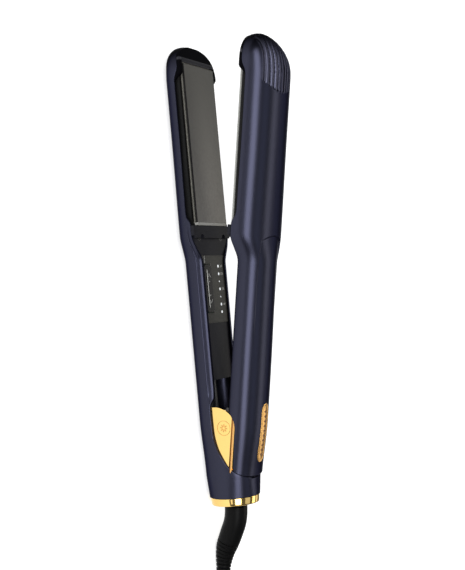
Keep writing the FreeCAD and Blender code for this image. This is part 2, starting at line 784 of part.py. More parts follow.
def raised(shape):
    """Turns an upper-arm shape, drawn outer side down and closed, to its open rest place."""
    shape = shape.mirror(Vector(0, 0, 0), Vector(0, 0, 1))
    shape.rotate(Vector(PIVOT_X, 0, 0), Vector(0, 1, 0), -OPEN_DEG)
    return shape


def export(name, shape):
    placed = shape.copy()
    placed.translate(Vector(-LENGTH / 2, 0, -BASE_Z))
    if placed.isNull() or not placed.isValid():
        print("BAD SHAPE", name)
    placed.exportStep("parts/" + name + ".step")
    box_ = placed.BoundBox
    print(f"{name:22s} solids {len(placed.Solids):2d}  x {box_.XMin:7.1f} {box_.XMax:7.1f}"
          f"  y {box_.YMin:6.1f} {box_.YMax:6.1f}  z {box_.ZMin:6.2f} {box_.ZMax:6.2f}")


def plate_group(side, arm, place):
    export(side + "_heater_plate", place(heater_plate()))
    export(side + "_ptc_heater", place(ptc_heater()))
    export(side + "_insulator", place(insulator()))
    export(side + "_clamp_bar", place(clamp_bar()))
    export(side + "_plate_sensor", place(plate_sensor()))
    export(side + "_plate_springs", place(plate_springs()))
    export(side + "_plate_tray", place(plate_tray(arm)))


def as_drawn(shape):
    return shape


def main():
    os.makedirs("parts", exist_ok=True)
    export("lower_shell", lower_shell())
    lower_cover = inner_cover(LOWER, RIM_HANDLE)
    lower_cover = screw_wells(lower_cover, COVER_TOP)
    panel_end = PANEL_X0 + PANEL_L
    lower_cover = lower_cover.cut(box(PANEL_X0 - 0.1, panel_end + 0.1, -14.5, 14.5, panel_cut(-PANEL_T), 5.0))
    lower_cover = lower_cover.cut(box(PANEL_X0 + 1.0, panel_end - 1.0, -9.0, 13.4, -9.0, 5.0))
    export("lower_inner_cover", lower_cover)
    export("lower_tip_cap", tip_cap(LOWER))
    plate_group("lower", LOWER, as_drawn)
    export("control_panel", control_panel())
    export("light_guides", light_guides())
    export("rocker_key", rocker_key())
    export("key_bearings", key_bearings())
    export("tact_switches", tact_switches())
    export("control_board", control_board())
    export("board_parts", board_parts())
    export("lower_cover_screws", cover_screws(COVER_TOP))
    export("hinge_bracket", hinge_bracket())
    export("hinge_pin", hinge_pin())
    export("hinge_sleeve", hinge_sleeve())
    export("opening_spring", opening_spring())
    export("end_ring", end_ring())
    export("swivel_bushing", swivel_bushing())
    export("swivel_barrel", swivel_barrel())
    export("contact_rings", contact_rings())
    export("contact_brushes", contact_brushes())
    export("mains_wires", mains_wires())
    export("heater_leads", heater_leads())

    plate = badge()
    export("upper_shell", raised(upper_shell().cut(plate)))
    export("badge", raised(plate))
    upper_top = UPPER_RIM - 1.5
    upper_cover = screw_wells(inner_cover(UPPER, UPPER_RIM), upper_top)
    export("upper_inner_cover", raised(upper_cover))
    export("upper_cover_screws", raised(cover_screws(upper_top)))
    export("upper_tip_cap", raised(tip_cap(UPPER)))
    plate_group("upper", UPPER, raised)
    export("hinge_frame", raised(hinge_frame()))
    gold = gold_plate()
    export("near_hinge_plate", raised(gold))
    export("far_hinge_plate", raised(gold.mirror(Vector(0, 0, 0), Vector(0, 1, 0))))
    export("upper_leads", raised(upper_leads()))
    export("thermal_fuse", raised(thermal_fuse()))

    export("strain_relief", strain_relief())
    export("cord_lead", routed_tube(LEAD_ROUTE, CORD_R, "cord_lead"))
    export("cord_hank", cord_hank())
    export("cord_tie", cord_tie())
    export("cord_tail", routed_tube(TAIL_ROUTE, CORD_R, "cord_tail"))
    export("plug_body", plug_body())
    export("plug_pins", plug_pins())


main()
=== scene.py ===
import math

import bmesh
import bpy
import numpy as np
from mathutils import Matrix, Vector


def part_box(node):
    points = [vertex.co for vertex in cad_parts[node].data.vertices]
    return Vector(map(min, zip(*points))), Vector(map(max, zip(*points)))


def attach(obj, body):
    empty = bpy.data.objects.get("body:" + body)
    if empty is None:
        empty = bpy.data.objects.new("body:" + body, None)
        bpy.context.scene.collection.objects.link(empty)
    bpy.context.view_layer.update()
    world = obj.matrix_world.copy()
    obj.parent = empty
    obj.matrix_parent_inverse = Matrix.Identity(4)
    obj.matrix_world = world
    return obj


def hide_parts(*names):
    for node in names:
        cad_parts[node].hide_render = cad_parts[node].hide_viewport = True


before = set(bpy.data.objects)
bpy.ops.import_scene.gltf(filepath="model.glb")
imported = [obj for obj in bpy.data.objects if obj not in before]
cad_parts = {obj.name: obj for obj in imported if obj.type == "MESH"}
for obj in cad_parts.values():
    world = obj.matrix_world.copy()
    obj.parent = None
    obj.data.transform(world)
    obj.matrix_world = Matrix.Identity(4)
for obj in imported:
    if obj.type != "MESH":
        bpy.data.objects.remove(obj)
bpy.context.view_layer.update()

# Millimetres in the working frame of the CAD source: x from the rear of the end ring (0) to the tip,
# y towards the near side, z = 0 at the face of the lower heater plate. place() turns them into the
# row's frame in metres, and lift() does the same for the upper arm, drawn closed with its outer side down.
REAR_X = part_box("end_ring")[0].x
FACE_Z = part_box("lower_heater_plate")[1].z
LENGTH = 282.0
PIVOT_X = 37.2
OPEN = math.radians(9.86)
TABLE_Z = -18.0

BARREL_HALF_W = 15.2
BARREL_HALF_D = 15.5
HANDLE_HALF_W = 16.5
HEAD_HALF_W = 22.0
HEAD_FLARE = 0.9
FLARE_X = (225.0, 168.0)
HANDLE_HALF_D = 11.5
HEAD_HALF_D = 16.0
ROUND = 2.0
HEAD_SQUARE = 2.3
WALL = 1.8
EDGE_BEAD = 0.45
BARREL_X = 18.0
HANDLE_X = 52.0
SHOULDER = (147.0, 165.0)
NOSE_NEAR_X = 267.0
NOSE_FAR_X = 262.0
NOSE_DEEP_X = 257.0
TIP_Y = 7.5
TIP_Z = -6.0
RING_LEN = 4.9
RING_CENTRE = -1.3
NOSE_BLUNT = 3.1
NOSE_BLUNT_X = 268.8
CAP_X = (268.75, 281.4)
CAP_TOP = -0.3
EAR_X = (256.6, 269.2)
GROOVE_PITCH = 3.3
GROOVE_Y = 16.5
GROOVE_DEPTH = 1.0
GROOVE_END_X = 248.3
GROOVE_END_Y = 2.5
GROOVE_END_BOW = 0.021
LEDGE_X = 163.8
LEDGE_BOW = 0.02
LEDGE_DEPTH = 0.8
LEDGE_SIDE = (-12.9, -12.0)
CREASE_DEPTH = 0.5
CREASE_DROP = 2.7
CREASE_WIDTH = 0.5
GOLD_FACE = 14.6
MEDALLION = (47.7, -1.5)
BADGE_Y = -1.0

LOWER = {"handle": -6.5, "rear": (15.9, -1.0, 16.1, 2.3), "head": -2.0, "far_bend": 0.85}
UPPER = {"handle": -9.3, "rear": (16.1, -7.0, 11.8, 2.3), "head": -4.0, "far_bend": 1.24}

# Edge lines of the casings in side view, as (x, z). Both end in the same line along the head.
HEAD_RIM = [(162.0, -2.2), (170.0, -2.2), (171.6, -2.6), (175.4, -4.8), (178.0, -5.2), (256.0, -5.2),
            (259.0, -4.7), (263.0, -2.8), (266.0, -2.2), (290.0, -2.2)]
LOWER_RIM = [(4.0, 30.0), (14.9, 18.0), (15.7, 15.2), (17.0, 13.2), (18.4, 11.2), (23.2, 5.0), (29.0, 1.0),
             (36.0, -2.3), (44.0, -3.9), (52.0, -4.1), (59.0, -4.1), (61.5, -3.6), (66.0, -1.4), (72.0, -1.1),
             (150.0, -1.1), (156.0, -1.6), *HEAD_RIM]
UPPER_RIM = [(18.9, -18.6), (20.8, -14.3), (23.0, -10.4), (24.5, -9.7), (48.6, -9.7), (52.3, -8.8),
             (55.6, -6.4), (57.6, -3.9), (150.0, -3.9), (156.0, -3.2), *HEAD_RIM]

PLATE_X0 = 171.1
PLATE_L = 97.0
PLATE_HALF_W = 18.45
PLATE_T = 2.2
PLATE_LIP = 1.4
PANEL_TOP = -2.25
LED_X0 = 116.6
LED_X1 = 144.8
LED_Y = -6.1
KEY_X0 = 116.8
KEY_L = 29.2
KEY_Y0 = 3.6

CORD_R = 3.5
HANK_X0 = -252.0
HANK_X1 = -112.0
HANK_HALF_W = 32.0
HANK_Z0 = -17.0
HANK_H = 8 * CORD_R

CAMERA_PLACE = (120.394, 586.876, 331.508)
CAMERA_RIGHT = (-0.0904454, -0.4798252, 0.8726898)
CAMERA_UP = (0.9957450, -0.0280403, 0.0877816)
CAMERA_LENS = 69.59

# Points round each casing's outer and inner side, and steps over its rounded edge.
OUTER_COUNT = 231
INNER_COUNT = 72
EDGE_STEPS = 7


# ---------------------------------------------------------------- placing and meshes

def place(x, y, z):
    return (REAR_X + x / 1000, y / 1000, FACE_Z + z / 1000)


def place_nose(x, y, z):
    """The lower arm's place: its nose is a little blunter than the upper one's."""
    beyond = max(x - NOSE_BLUNT_X, 0.0) / (LENGTH - NOSE_BLUNT_X)
    return place(x - NOSE_BLUNT * beyond ** 1.4, y, z)


def lift(x, y, z):
    """A point of the upper arm, drawn closed with its outer side down, at its open rest place."""
    dx, up = x - PIVOT_X, -z
    c, s = math.cos(OPEN), math.sin(OPEN)
    return place(PIVOT_X + dx * c - up * s, y, dx * s + up * c)


def make_piece(name, points, faces, material, where=place, sharp=35.0, slots=None):
    """A mesh piece from points in the working frame. slots gives each face's material number."""
    mesh = bpy.data.meshes.new(name)
    mesh.from_pydata([where(*p) for p in points], [], faces)
    if slots:
        mesh.polygons.foreach_set("material_index", slots)
    work = bmesh.new()
    work.from_mesh(mesh)
    bmesh.ops.remove_doubles(work, verts=work.verts, dist=2e-6)
    bmesh.ops.dissolve_degenerate(work, edges=work.edges, dist=1e-6)
    bmesh.ops.recalc_face_normals(work, faces=work.faces)
    work.to_mesh(mesh)
    work.free()
    mesh.shade_smooth()
    mesh.set_sharp_from_angle(angle=math.radians(sharp))
    mesh.materials.append(material)
    piece = bpy.data.objects.new(name, mesh)
    bpy.context.scene.collection.objects.link(piece)
    return piece


def grid_faces(rows, columns, wrap_rows=False, wrap_columns=False):
    faces = []
    for i in range(rows if wrap_rows else rows - 1):
        for j in range(columns if wrap_columns else columns - 1):
            a, b = i * columns + j, i * columns + (j + 1) % columns
            c, d = ((i + 1) % rows) * columns + (j + 1) % columns, ((i + 1) % rows) * columns + j
            faces.append((a, b, c, d))
    return faces


def tube_faces(rows, columns, base=0):
    """Faces of a tube of closed rings, with its two end faces last."""
    faces = grid_faces(rows, columns, False, True)
    faces += [tuple(range(columns)), tuple((rows - 1) * columns + k for k in range(columns))]
    return [tuple(base + v for v in face) for face in faces]


def lathe(name, profile, centre, material, where=place, turns=128):
    """A closed (x, radius) profile turned about the line y, z = centre along x."""
    y0, z0 = centre
    points = []
    for k in range(turns):
        a = 2 * math.pi * k / turns
        points += [(x, y0 + r * math.cos(a), z0 + r * math.sin(a)) for x, r in profile]
    return make_piece(name, points, grid_faces(turns, len(profile), True, True), material, where)


def through(points, x):
    """The height at x of a smooth line through the points, with no overshoot."""
    if x <= points[0][0]:
        return points[0][1]
    if x >= points[-1][0]:
        return points[-1][1]
    k = max(i for i in range(len(points) - 1) if points[i][0] <= x)

    def slope(i):
        if i == 0 or i == len(points) - 1:
            return 0.0
        before = (points[i][1] - points[i - 1][1]) / (points[i][0] - points[i - 1][0])
        after = (points[i + 1][1] - points[i][1]) / (points[i + 1][0] - points[i][0])
        return 0.0 if before * after <= 0 else 2 * before * after / (before + after)

    (x0, z0), (x1, z1) = points[k], points[k + 1]
    h = x1 - x0
    t = (x - x0) / h
    return ((1 + 2 * t) * (1 - t) ** 2 * z0 + t * (1 - t) ** 2 * h * slope(k)
            + t * t * (3 - 2 * t) * z1 + t * t * (t - 1) * h * slope(k + 1))


def ease(x, start, end):
    t = np.clip((x - start) / (end - start), 0.0, 1.0)
    return t * t * (3.0 - 2.0 * t)


def mix(a, b, t):
    return a + (b - a) * t


# ---------------------------------------------------------------- materials

def add_painted_shade(nodes, links, place_node, colour_socket, painted_shade):
    """The colour, deepening to a darker one between two places along the iron, in metres: painted shade."""
    split = nodes.new("ShaderNodeSeparateXYZ")
    links.new(place_node.outputs["Object"], split.inputs["Vector"])
    reach = nodes.new("ShaderNodeMapRange")
    reach.interpolation_type = "SMOOTHSTEP"
    reach.inputs["From Min"].default_value, reach.inputs["From Max"].default_value = painted_shade[:2]
    links.new(split.outputs["X"], reach.inputs["Value"])
    blend = nodes.new("ShaderNodeMix")
    blend.data_type = "RGBA"
    blend.inputs[7].default_value = (*painted_shade[2], 1)
    links.new(reach.outputs["Result"], blend.inputs["Factor"])
    links.new(colour_socket, blend.inputs[6])
    return blend.outputs[2]


def surface(name, colour, rough, metal=0.0, vary=0.08, grain=900.0, bump=0.03, rough_vary=0.12,
            specular=0.5, tint=None, stretch=(1, 1, 1), painted_shade=None, glow=None):
    """A procedural finish: mottled colour and roughness, and a fine grain in the normal."""
    material = bpy.data.materials.new(name)
    material.use_nodes = True
    nodes, links = material.node_tree.nodes, material.node_tree.links
    shader = nodes["Principled BSDF"]
    shader.inputs["Metallic"].default_value = metal
    shader.inputs["Specular IOR Level"].default_value = specular
    if tint:
        shader.inputs["Specular Tint"].default_value = (*tint, 1)
    if glow:
        shader.inputs["Emission Color"].default_value = (*colour, 1)
        shader.inputs["Emission Strength"].default_value = glow
    place_node = nodes.new("ShaderNodeTexCoord")
    mapping = nodes.new("ShaderNodeMapping")
    mapping.inputs["Scale"].default_value = stretch
    links.new(place_node.outputs["Object"], mapping.inputs["Vector"])
    mottle = nodes.new("ShaderNodeTexNoise")
    mottle.inputs["Scale"].default_value = grain
    mottle.inputs["Detail"].default_value = 4.0
    links.new(mapping.outputs["Vector"], mottle.inputs["Vector"])
    blend = nodes.new("ShaderNodeMix")
    blend.data_type = "RGBA"
    blend.inputs[6].default_value = (*[c * (1 - vary) for c in colour], 1)
    blend.inputs[7].default_value = (*[min(c * (1 + vary), 1.0) for c in colour], 1)
    links.new(mottle.outputs["Fac"], blend.inputs["Factor"])
    colour_socket = blend.outputs[2]
    # Optional painted shade: the colour darkens between two places along the iron.
    if painted_shade:
        colour_socket = add_painted_shade(nodes, links, place_node, colour_socket, painted_shade)
    links.new(colour_socket, shader.inputs["Base Color"])
    spread = nodes.new("ShaderNodeMapRange")
    spread.inputs["To Min"].default_value = rough * (1 - rough_vary)
    spread.inputs["To Max"].default_value = rough * (1 + rough_vary)
    links.new(mottle.outputs["Fac"], spread.inputs["Value"])
    links.new(spread.outputs["Result"], shader.inputs["Roughness"])
    grit = nodes.new("ShaderNodeTexNoise")
    grit.inputs["Scale"].default_value = grain * 2.2
    grit.inputs["Detail"].default_value = 3.0
    links.new(mapping.outputs["Vector"], grit.inputs["Vector"])
    relief = nodes.new("ShaderNodeBump")
    relief.inputs["Strength"].default_value = bump
    relief.inputs["Distance"].default_value = 0.0004
    links.new(grit.outputs["Fac"], relief.inputs["Height"])
    links.new(relief.outputs["Normal"], shader.inputs["Normal"])
    return material


LACQUER = {"metal": 0.95, "vary": 0.16, "grain": 5200.0, "bump": 0.02, "tint": (0.30, 0.30, 0.33)}
# The lacquer darkens to near black over the nose: painted shade standing for the dark reflection there.
NOSE_PAINTED_SHADE = (0.119, 0.135, (0.005, 0.005, 0.007))
NAVY = surface("navy_lacquer", (0.032, 0.033, 0.051), 0.31, painted_shade=NOSE_PAINTED_SHADE, **LACQUER)
# The lighter navy on the ridges between the tip grooves is a painted highlight; the near black in the grooves
# is painted shade.
NAVY_RIDGE_HIGHLIGHT = surface("navy_ridge_painted_highlight", (0.066, 0.067, 0.097), 0.34, painted_shade=NOSE_PAINTED_SHADE, **LACQUER)
NAVY_GROOVE_SHADE = surface("navy_groove_painted_shade", (0.009, 0.009, 0.014), 0.4, **{**LACQUER, "metal": 0.9})
GOLD = surface("gold_mirror", (0.82, 0.56, 0.185), 0.08, metal=1.0, vary=0.03, grain=260.0, bump=0.006)
BRONZE = surface("gold_dark", (0.62, 0.33, 0.10), 0.2, metal=1.0, vary=0.12, grain=900.0)
BROWN = surface("inlay_brown", (0.17, 0.065, 0.02), 0.35, metal=0.5, vary=0.2, grain=900.0)
BADGE_GOLD_AND_FOLD_SHEEN = surface("gold_warm", (0.90, 0.50, 0.15), 0.22, metal=1.0, vary=0.05, grain=500.0, bump=0.01)
# Dark orange for the painted shade on the hinge plates' folded edge.
FOLD_PAINTED_SHADE = surface("gold_fold_painted_shade", (0.40, 0.145, 0.03), 0.2, metal=1.0, vary=0.12, grain=600.0, bump=0.01)
GLOSS = surface("gloss_black", (0.0028, 0.0028, 0.0036), 0.2, vary=0.1, grain=700.0, bump=0.01,
                specular=0.002)
# The lighter grey of the cap's bevel by the plate is a painted highlight.
CAP_FACET_HIGHLIGHT = surface("cap_facet_painted_highlight", (0.022, 0.022, 0.027), 0.4, vary=0.12, grain=900.0, bump=0.02, specular=0.1)
COVER = surface("cover_satin", (0.0105, 0.0105, 0.014), 0.40, vary=0.2, grain=1500.0, bump=0.05,
                specular=0.09)
CHARCOAL = surface("charcoal_moulding", (0.022, 0.022, 0.026), 0.42, vary=0.18, grain=1500.0, bump=0.12)
TRAY_BLACK_AND_GROOVE_SHADE = surface("tray_moulding", (0.006, 0.006, 0.006), 0.5, vary=0.2, grain=1300.0, bump=0.12, specular=0.1)
# The plate face is lighter at its rear end and darkens towards the tip: painted shade.
CERAMIC = surface("ceramic_satin", (0.158, 0.151, 0.143), 0.40, metal=0.6, vary=0.34, grain=520.0, bump=0.05,
                  rough_vary=0.2, painted_shade=(0.0, 0.14, (0.052, 0.051, 0.048)))
PLATE_EDGE = surface("plate_edge", (0.115, 0.110, 0.095), 0.45, metal=0.7, vary=0.12, grain=1500.0)
PLATE_BRIGHT = surface("plate_bright", (0.34, 0.34, 0.32), 0.45, metal=0.3, vary=0.12, grain=1500.0)
PLATE_END = surface("plate_end", (0.38, 0.375, 0.35), 0.55, metal=0.1, vary=0.1, grain=1500.0)
PANEL = surface("panel_film", (0.035, 0.034, 0.030), 0.40, vary=0.5, grain=1300.0, bump=0.1, specular=0.16,
                stretch=(1.0, 0.35, 1.0))
KEYCAP = surface("key_black", (0.012, 0.012, 0.012), 0.28, vary=0.15, grain=900.0, bump=0.03, specular=0.12)
PRINT = surface("print_grey", (0.42, 0.42, 0.40), 0.5, vary=0.1)
# A light grey for the painted highlight along the key's ridge.
KEY_RIDGE_HIGHLIGHT = surface("key_ridge_painted_highlight", (0.72, 0.72, 0.68), 0.4, vary=0.08)
PRINT_DIM = surface("print_dim", (0.15, 0.15, 0.145), 0.5, vary=0.1)
LAMP = surface("lamp_white", (0.80, 0.83, 0.86), 0.3, vary=0.04, glow=0.45)
STEEL = surface("steel_ground", (0.50, 0.50, 0.51), 0.3, metal=1.0, vary=0.1, grain=1200.0,
                stretch=(1.0, 12.0, 1.0), bump=0.06)
SCREW = surface("screw_black", (0.05, 0.05, 0.052), 0.35, metal=0.9, vary=0.15)
COPPER = surface("copper_plain", (0.72, 0.42, 0.26), 0.3, metal=1.0, vary=0.1)
BOARD = surface("board_green", (0.02, 0.11, 0.05), 0.4, vary=0.3, grain=500.0)
CHIP = surface("chip_black", (0.02, 0.02, 0.02), 0.5, vary=0.2)
HEATER = surface("heater_ceramic", (0.62, 0.58, 0.50), 0.6, vary=0.1, grain=1500.0, bump=0.1)
MICA = surface("mica_sheet", (0.40, 0.33, 0.18), 0.35, vary=0.3, grain=160.0)
SILICONE = surface("silicone_grey", (0.02, 0.02, 0.021), 0.6, vary=0.12, specular=0.2)
ACETAL = surface("acetal_white", (0.62, 0.61, 0.57), 0.4, vary=0.05)
WIRE = surface("wire_sleeve", (0.035, 0.035, 0.035), 0.5, vary=0.15, grain=1800.0, bump=0.15)
RUBBER = surface("cord_rubber", (0.0035, 0.0035, 0.0035), 0.38, vary=0.3, grain=1500.0, bump=0.08,
                 specular=0.06)
TAPE = surface("tie_tape", (0.014, 0.014, 0.015), 0.8, vary=0.5, grain=2400.0, bump=0.6)


# ---------------------------------------------------------------- camera and floor

def add_camera():
    """The photograph's view: a long lens from above the near side, with the iron's tip upwards."""
    right, up = Vector(CAMERA_RIGHT), Vector(CAMERA_UP)
    data = bpy.data.cameras.new("camera")
    data.sensor_width = 36.0
    data.lens = CAMERA_LENS
    data.clip_start, data.clip_end = 0.01, 20.0
    camera = bpy.data.objects.new("camera", data)
    turn = Matrix((right, up, right.cross(up))).transposed()
    camera.matrix_world = Matrix.Translation(place(*CAMERA_PLACE)) @ turn.to_4x4()
    bpy.context.scene.collection.objects.link(camera)
    bpy.context.scene.camera = camera


def add_floor():
    size = 3.0
    floor_z = FACE_Z + TABLE_Z / 1000
    mesh = bpy.data.meshes.new("floor")
    corners = [(x, y, floor_z) for x, y in ((-size, -size), (size, -size), (size, size), (-size, size))]
    mesh.from_pydata(corners, [], [(0, 1, 2, 3)])
    mesh.materials.append(surface("floor_white", (0.6, 0.6, 0.6), 0.6, vary=0.01, grain=8.0, bump=0.0,
                                  specular=0.1, glow=1.17))
    floor = bpy.data.objects.new("floor", mesh)
    bpy.context.scene.collection.objects.link(floor)


def add_softbox(name, direction, distance, length, width, radiance, colour=(1, 1, 1)):
    """A long soft panel parallel to the iron, seen from the object along direction."""
    data = bpy.data.lights.new(name, "AREA")
    data.shape = "RECTANGLE"
    data.size, data.size_y = length, width
    data.energy = radiance * math.pi * length * width
    data.color = colour
    light = bpy.data.objects.new(name, data)
    aim = Vector((0.0, 0.0, 0.03))
    z_axis = Vector(direction).normalized()
    y_axis = z_axis.cross(Vector((1, 0, 0))).normalized()
    turn = Matrix((y_axis.cross(z_axis), y_axis, z_axis)).transposed()
    light.matrix_world = Matrix.Translation(aim + z_axis * distance) @ turn.to_4x4()
    bpy.context.scene.collection.objects.link(light)
    light.visible_camera = False


def add_lights():
    world = bpy.data.worlds.new("studio")
    world.use_nodes = True
    world.node_tree.nodes["Background"].inputs["Color"].default_value = (1, 1, 1, 1)
    world.node_tree.nodes["Background"].inputs["Strength"].default_value = 0.14
    bpy.context.scene.world = world
    add_softbox("key_panel", (0.0, 0.76, 0.65), 1.2, 1.6, 0.62, 5.6, (0.97, 0.98, 1.0))
    add_softbox("low_panel", (0.0, 0.985, 0.17), 1.5, 1.6, 0.22, 1.2)
    add_softbox("top_panel", (0.0, 0.02, 1.0), 1.3, 1.6, 0.60, 0.75, (0.80, 0.86, 1.0))
    add_softbox("back_panel", (0.0, -0.60, 0.80), 1.25, 1.6, 0.42, 2.5, (1.0, 0.97, 0.86))
    add_softbox("tip_panel", (0.80, -0.22, 0.56), 1.2, 0.5, 0.6, 1.6)
    add_softbox("far_panel", (0.0, -0.88, 0.475), 1.35, 1.6, 0.30, 1.1, (1.0, 0.98, 0.93))
    bpy.context.scene.view_settings.view_transform = "Standard"


# ---------------------------------------------------------------- cord

# The cord's route out of the swivel, down through the strain relief and along the table to the hank.
LEAD_ROUTE = [
    (-2.0, 0.0, -1.3), (-10.0, 0.0, -1.9), (-18.5, 0.1, -5.0), (-33.0, 0.8, -12.6), (-52.0, 3.0, -14.35),
    (-68.0, 7.0, -14.43), (-86.0, 14.0, -14.45), (-104.0, 22.5, -14.25), (-121.0, 26.5, -13.5),
]
# Off the top of the hank to the plug.
TAIL_ROUTE = [
    (-222.0, -24.0, 10.0), (-206.0, -19.0, 15.1), (-191.0, -15.4, 16.5), (-174.5, -14.0, 17.7),
]


def hank_turns():
    """Stadium turns in four layers of two, outer and inner by turns, wound from the near side."""
    pitch = 2 * CORD_R
    outer = HANK_HALF_W - CORD_R
    left, right = HANK_X0 + HANK_HALF_W, HANK_X1 - HANK_HALF_W
    radii = [outer, outer - pitch, outer - pitch, outer] * 2
    heights = [HANK_Z0 + CORD_R + pitch * (k // 2) for k in range(8)]
    points = []
    for k in range(8):
        r, z = radii[k], heights[k]
        points += [(mix(right, left, t), r, z) for t in (0.2, 0.45, 0.75, 1.0)]
        for step in range(1, 8):
            a = math.pi / 2 + math.pi * step / 8
            points.append((left + r * math.cos(a), r * math.sin(a), z))
        if k == 7:
            break
        next_r, next_z = radii[k + 1], heights[k + 1]
        points += [(mix(left, right, t), -r, z) for t in (0.0, 0.3, 0.55, 0.8, 1.0)]
        for step in range(1, 8):
            a = -math.pi / 2 + math.pi * step / 8
            t = float(ease(step, 0, 8))
            radius = mix(r, next_r, t)
            points.append((right + radius * math.cos(a), radius * math.sin(a), mix(z, next_z, t)))
        points.append((right, next_r, next_z))
    return points


def spline_curve(name, points, bevel):
    curve = bpy.data.curves.new(name, "CURVE")
    curve.dimensions = "3D"
    curve.resolution_u = 10
    curve.bevel_depth = bevel
    curve.bevel_resolution = 6
    curve.use_fill_caps = True
    spline = curve.splines.new("NURBS")
    spline.points.add(len(points) - 1)
    for point, co in zip(spline.points, points):
        point.co = (*place(*co), 1.0)
    spline.order_u = 3
    spline.use_endpoint_u = True
    piece = bpy.data.objects.new(name, curve)
    bpy.context.scene.collection.objects.link(piece)
    return piece


def spline_line(points):
    """Points along the smooth line of a route, read from its spline, in metres."""
    guide = spline_curve("guide", points, 0.0)
    mesh = bpy.data.meshes.new_from_object(guide.evaluated_get(bpy.context.evaluated_depsgraph_get()))
    line = [v.co.copy() for v in mesh.vertices]
    bpy.data.meshes.remove(mesh)
    bpy.data.objects.remove(guide)
    return line


def add_cord():
    route = LEAD_ROUTE + hank_turns() + TAIL_ROUTE
    cord = spline_curve("mains_cord", route, CORD_R / 1000)
    cord.data.materials.append(RUBBER)
    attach(cord, "lower_arm")
    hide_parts("cord_lead", "cord_hank", "cord_tail")
    return cord


def add_strain_relief():
    """A tapered boot round the cord's first stretch: plain at first, then slotted into ribs."""
    line = spline_line(LEAD_ROUTE)
    reach = [0.0]
    for a, b in zip(line, line[1:]):
        reach.append(reach[-1] + (b - a).length * 1000)

    def on_line(s):
        k = max(i for i in range(len(reach) - 1) if reach[i] <= s)
        t = (s - reach[k]) / (reach[k + 1] - reach[k])
        return line[k].lerp(line[k + 1], t), (line[k + 1] - line[k]).normalized()

    length, around, rounding = 49.0, 72, 0.8
    rib_start, rib_end, rib_pitch, slot_depth = 22.0, 45.5, 2.35, 0.6
    sag = 0.0009
    steps = [length * k / 240 for k in range(241)]
    taper = [(0.0, 6.95), (14.0, 7.0), (24.0, 6.75), (32.0, 5.6), (40.0, 4.45), (49.0, 3.95)]
    points = []
    for s in steps:
        centre, along = on_line(s + 0.02)
        centre.z -= sag * float(ease(s, 4.0, 18.0) * ease(-s, -42.0, -24.0))
        side = along.cross(Vector((0, 0, 1))).normalized()
        up = side.cross(along)
        radius = through(taper, s)
        if rib_start < s < rib_end:
            wave = math.sin(math.pi * (s - rib_start) / rib_pitch) ** 2
            radius -= slot_depth * max(0.0, wave - 0.6) / 0.4
        if s > length - rounding:
            radius -= 0.5 * (1 - math.sqrt(max(0.0, 1 - ((s - length + rounding) / rounding) ** 2)))
        for k in range(around):
            a = 2 * math.pi * k / around
            points.append(centre + (side * math.cos(a) + up * math.sin(a)) * radius / 1000)
    boot = make_piece("strain_relief_boot", points, tube_faces(len(steps), around), RUBBER,
                      where=lambda *p: p)
    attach(boot, "lower_arm")
    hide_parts("strain_relief")
    return boot


def add_tie():
    """A closed hook-and-loop strap round the middle of the hank."""
    to_end = 63.0
    x0, x1 = HANK_X0 + to_end, HANK_X1 - to_end
    half, low, high = HANK_HALF_W, HANK_Z0, HANK_Z0 + HANK_H
    corner, thick, under = 5.0, 0.8, 0.05
    loop = []
    for quadrant, (sy, sz) in enumerate(((1, 1), (-1, 1), (-1, -1), (1, -1))):
        for k in range(9):
            a = math.pi / 2 * (quadrant + k / 8)
            cy, cz = sy * (half - corner), (high - corner) if sz > 0 else (low + corner)
            loop.append((cy, cz, math.cos(a), math.sin(a)))
    # Across the strap, as (share of its width, radius of its rounded corner).
    outline = [(0.0, corner + 0.6 * thick), (0.02, corner + thick), (0.98, corner + thick),
               (1.0, corner + 0.6 * thick), (1.0, corner + under), (0.0, corner + under)]
    points = []
    for cy, cz, c, s in loop:
        points += [(mix(x0, x1, share), cy + r * c, cz + r * s) for share, r in outline]
    faces = grid_faces(len(loop), len(outline), True, True)
    strap = make_piece("cord_tie_strap", points, faces, TAPE, sharp=50)
    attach(strap, "lower_arm")
    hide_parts("cord_tie")
    return strap


add_camera()
add_floor()
add_lights()
CORD = add_cord()
BOOT = add_strain_relief()
STRAP = add_tie()


# ---------------------------------------------------------------- casings

def section(arm, x):
    """Height of the middle, half width, half depth and squareness of a casing's section."""
    rear_w, rear_z, rear_d, rear_n = arm["rear"]
    out = float(ease(x, BARREL_X, HANDLE_X))
    half_w, middle = mix(rear_w, HANDLE_HALF_W, out), mix(rear_z, arm["handle"], out)
    half_d, square = mix(rear_d, HANDLE_HALF_D, out), mix(rear_n, ROUND, out)
    wide = float(ease(x, *SHOULDER))
    half_w = mix(half_w, HEAD_HALF_W + HEAD_FLARE * float(ease(x, *FLARE_X)), wide)
    middle, half_d = mix(middle, arm["head"], wide), mix(half_d, HEAD_HALF_D, wide)
    square = mix(square, HEAD_SQUARE, wide)
    if x < BARREL_X:
        back = (BARREL_X - x) / (BARREL_X - RING_LEN)
        half_w, middle = mix(half_w, BARREL_HALF_W, back), mix(middle, RING_CENTRE, back)
        half_d, square = mix(half_d, BARREL_HALF_D, back), mix(square, ROUND, back)
    return middle, half_w, half_d, square


def quarter(x, start, end):
    """A quarter ellipse's height: 1 up to start, then falling to 0 at end."""
    t = min(max((x - start) / (end - start), 0.0), 1.0)
    return math.sqrt(1.0 - t * t)


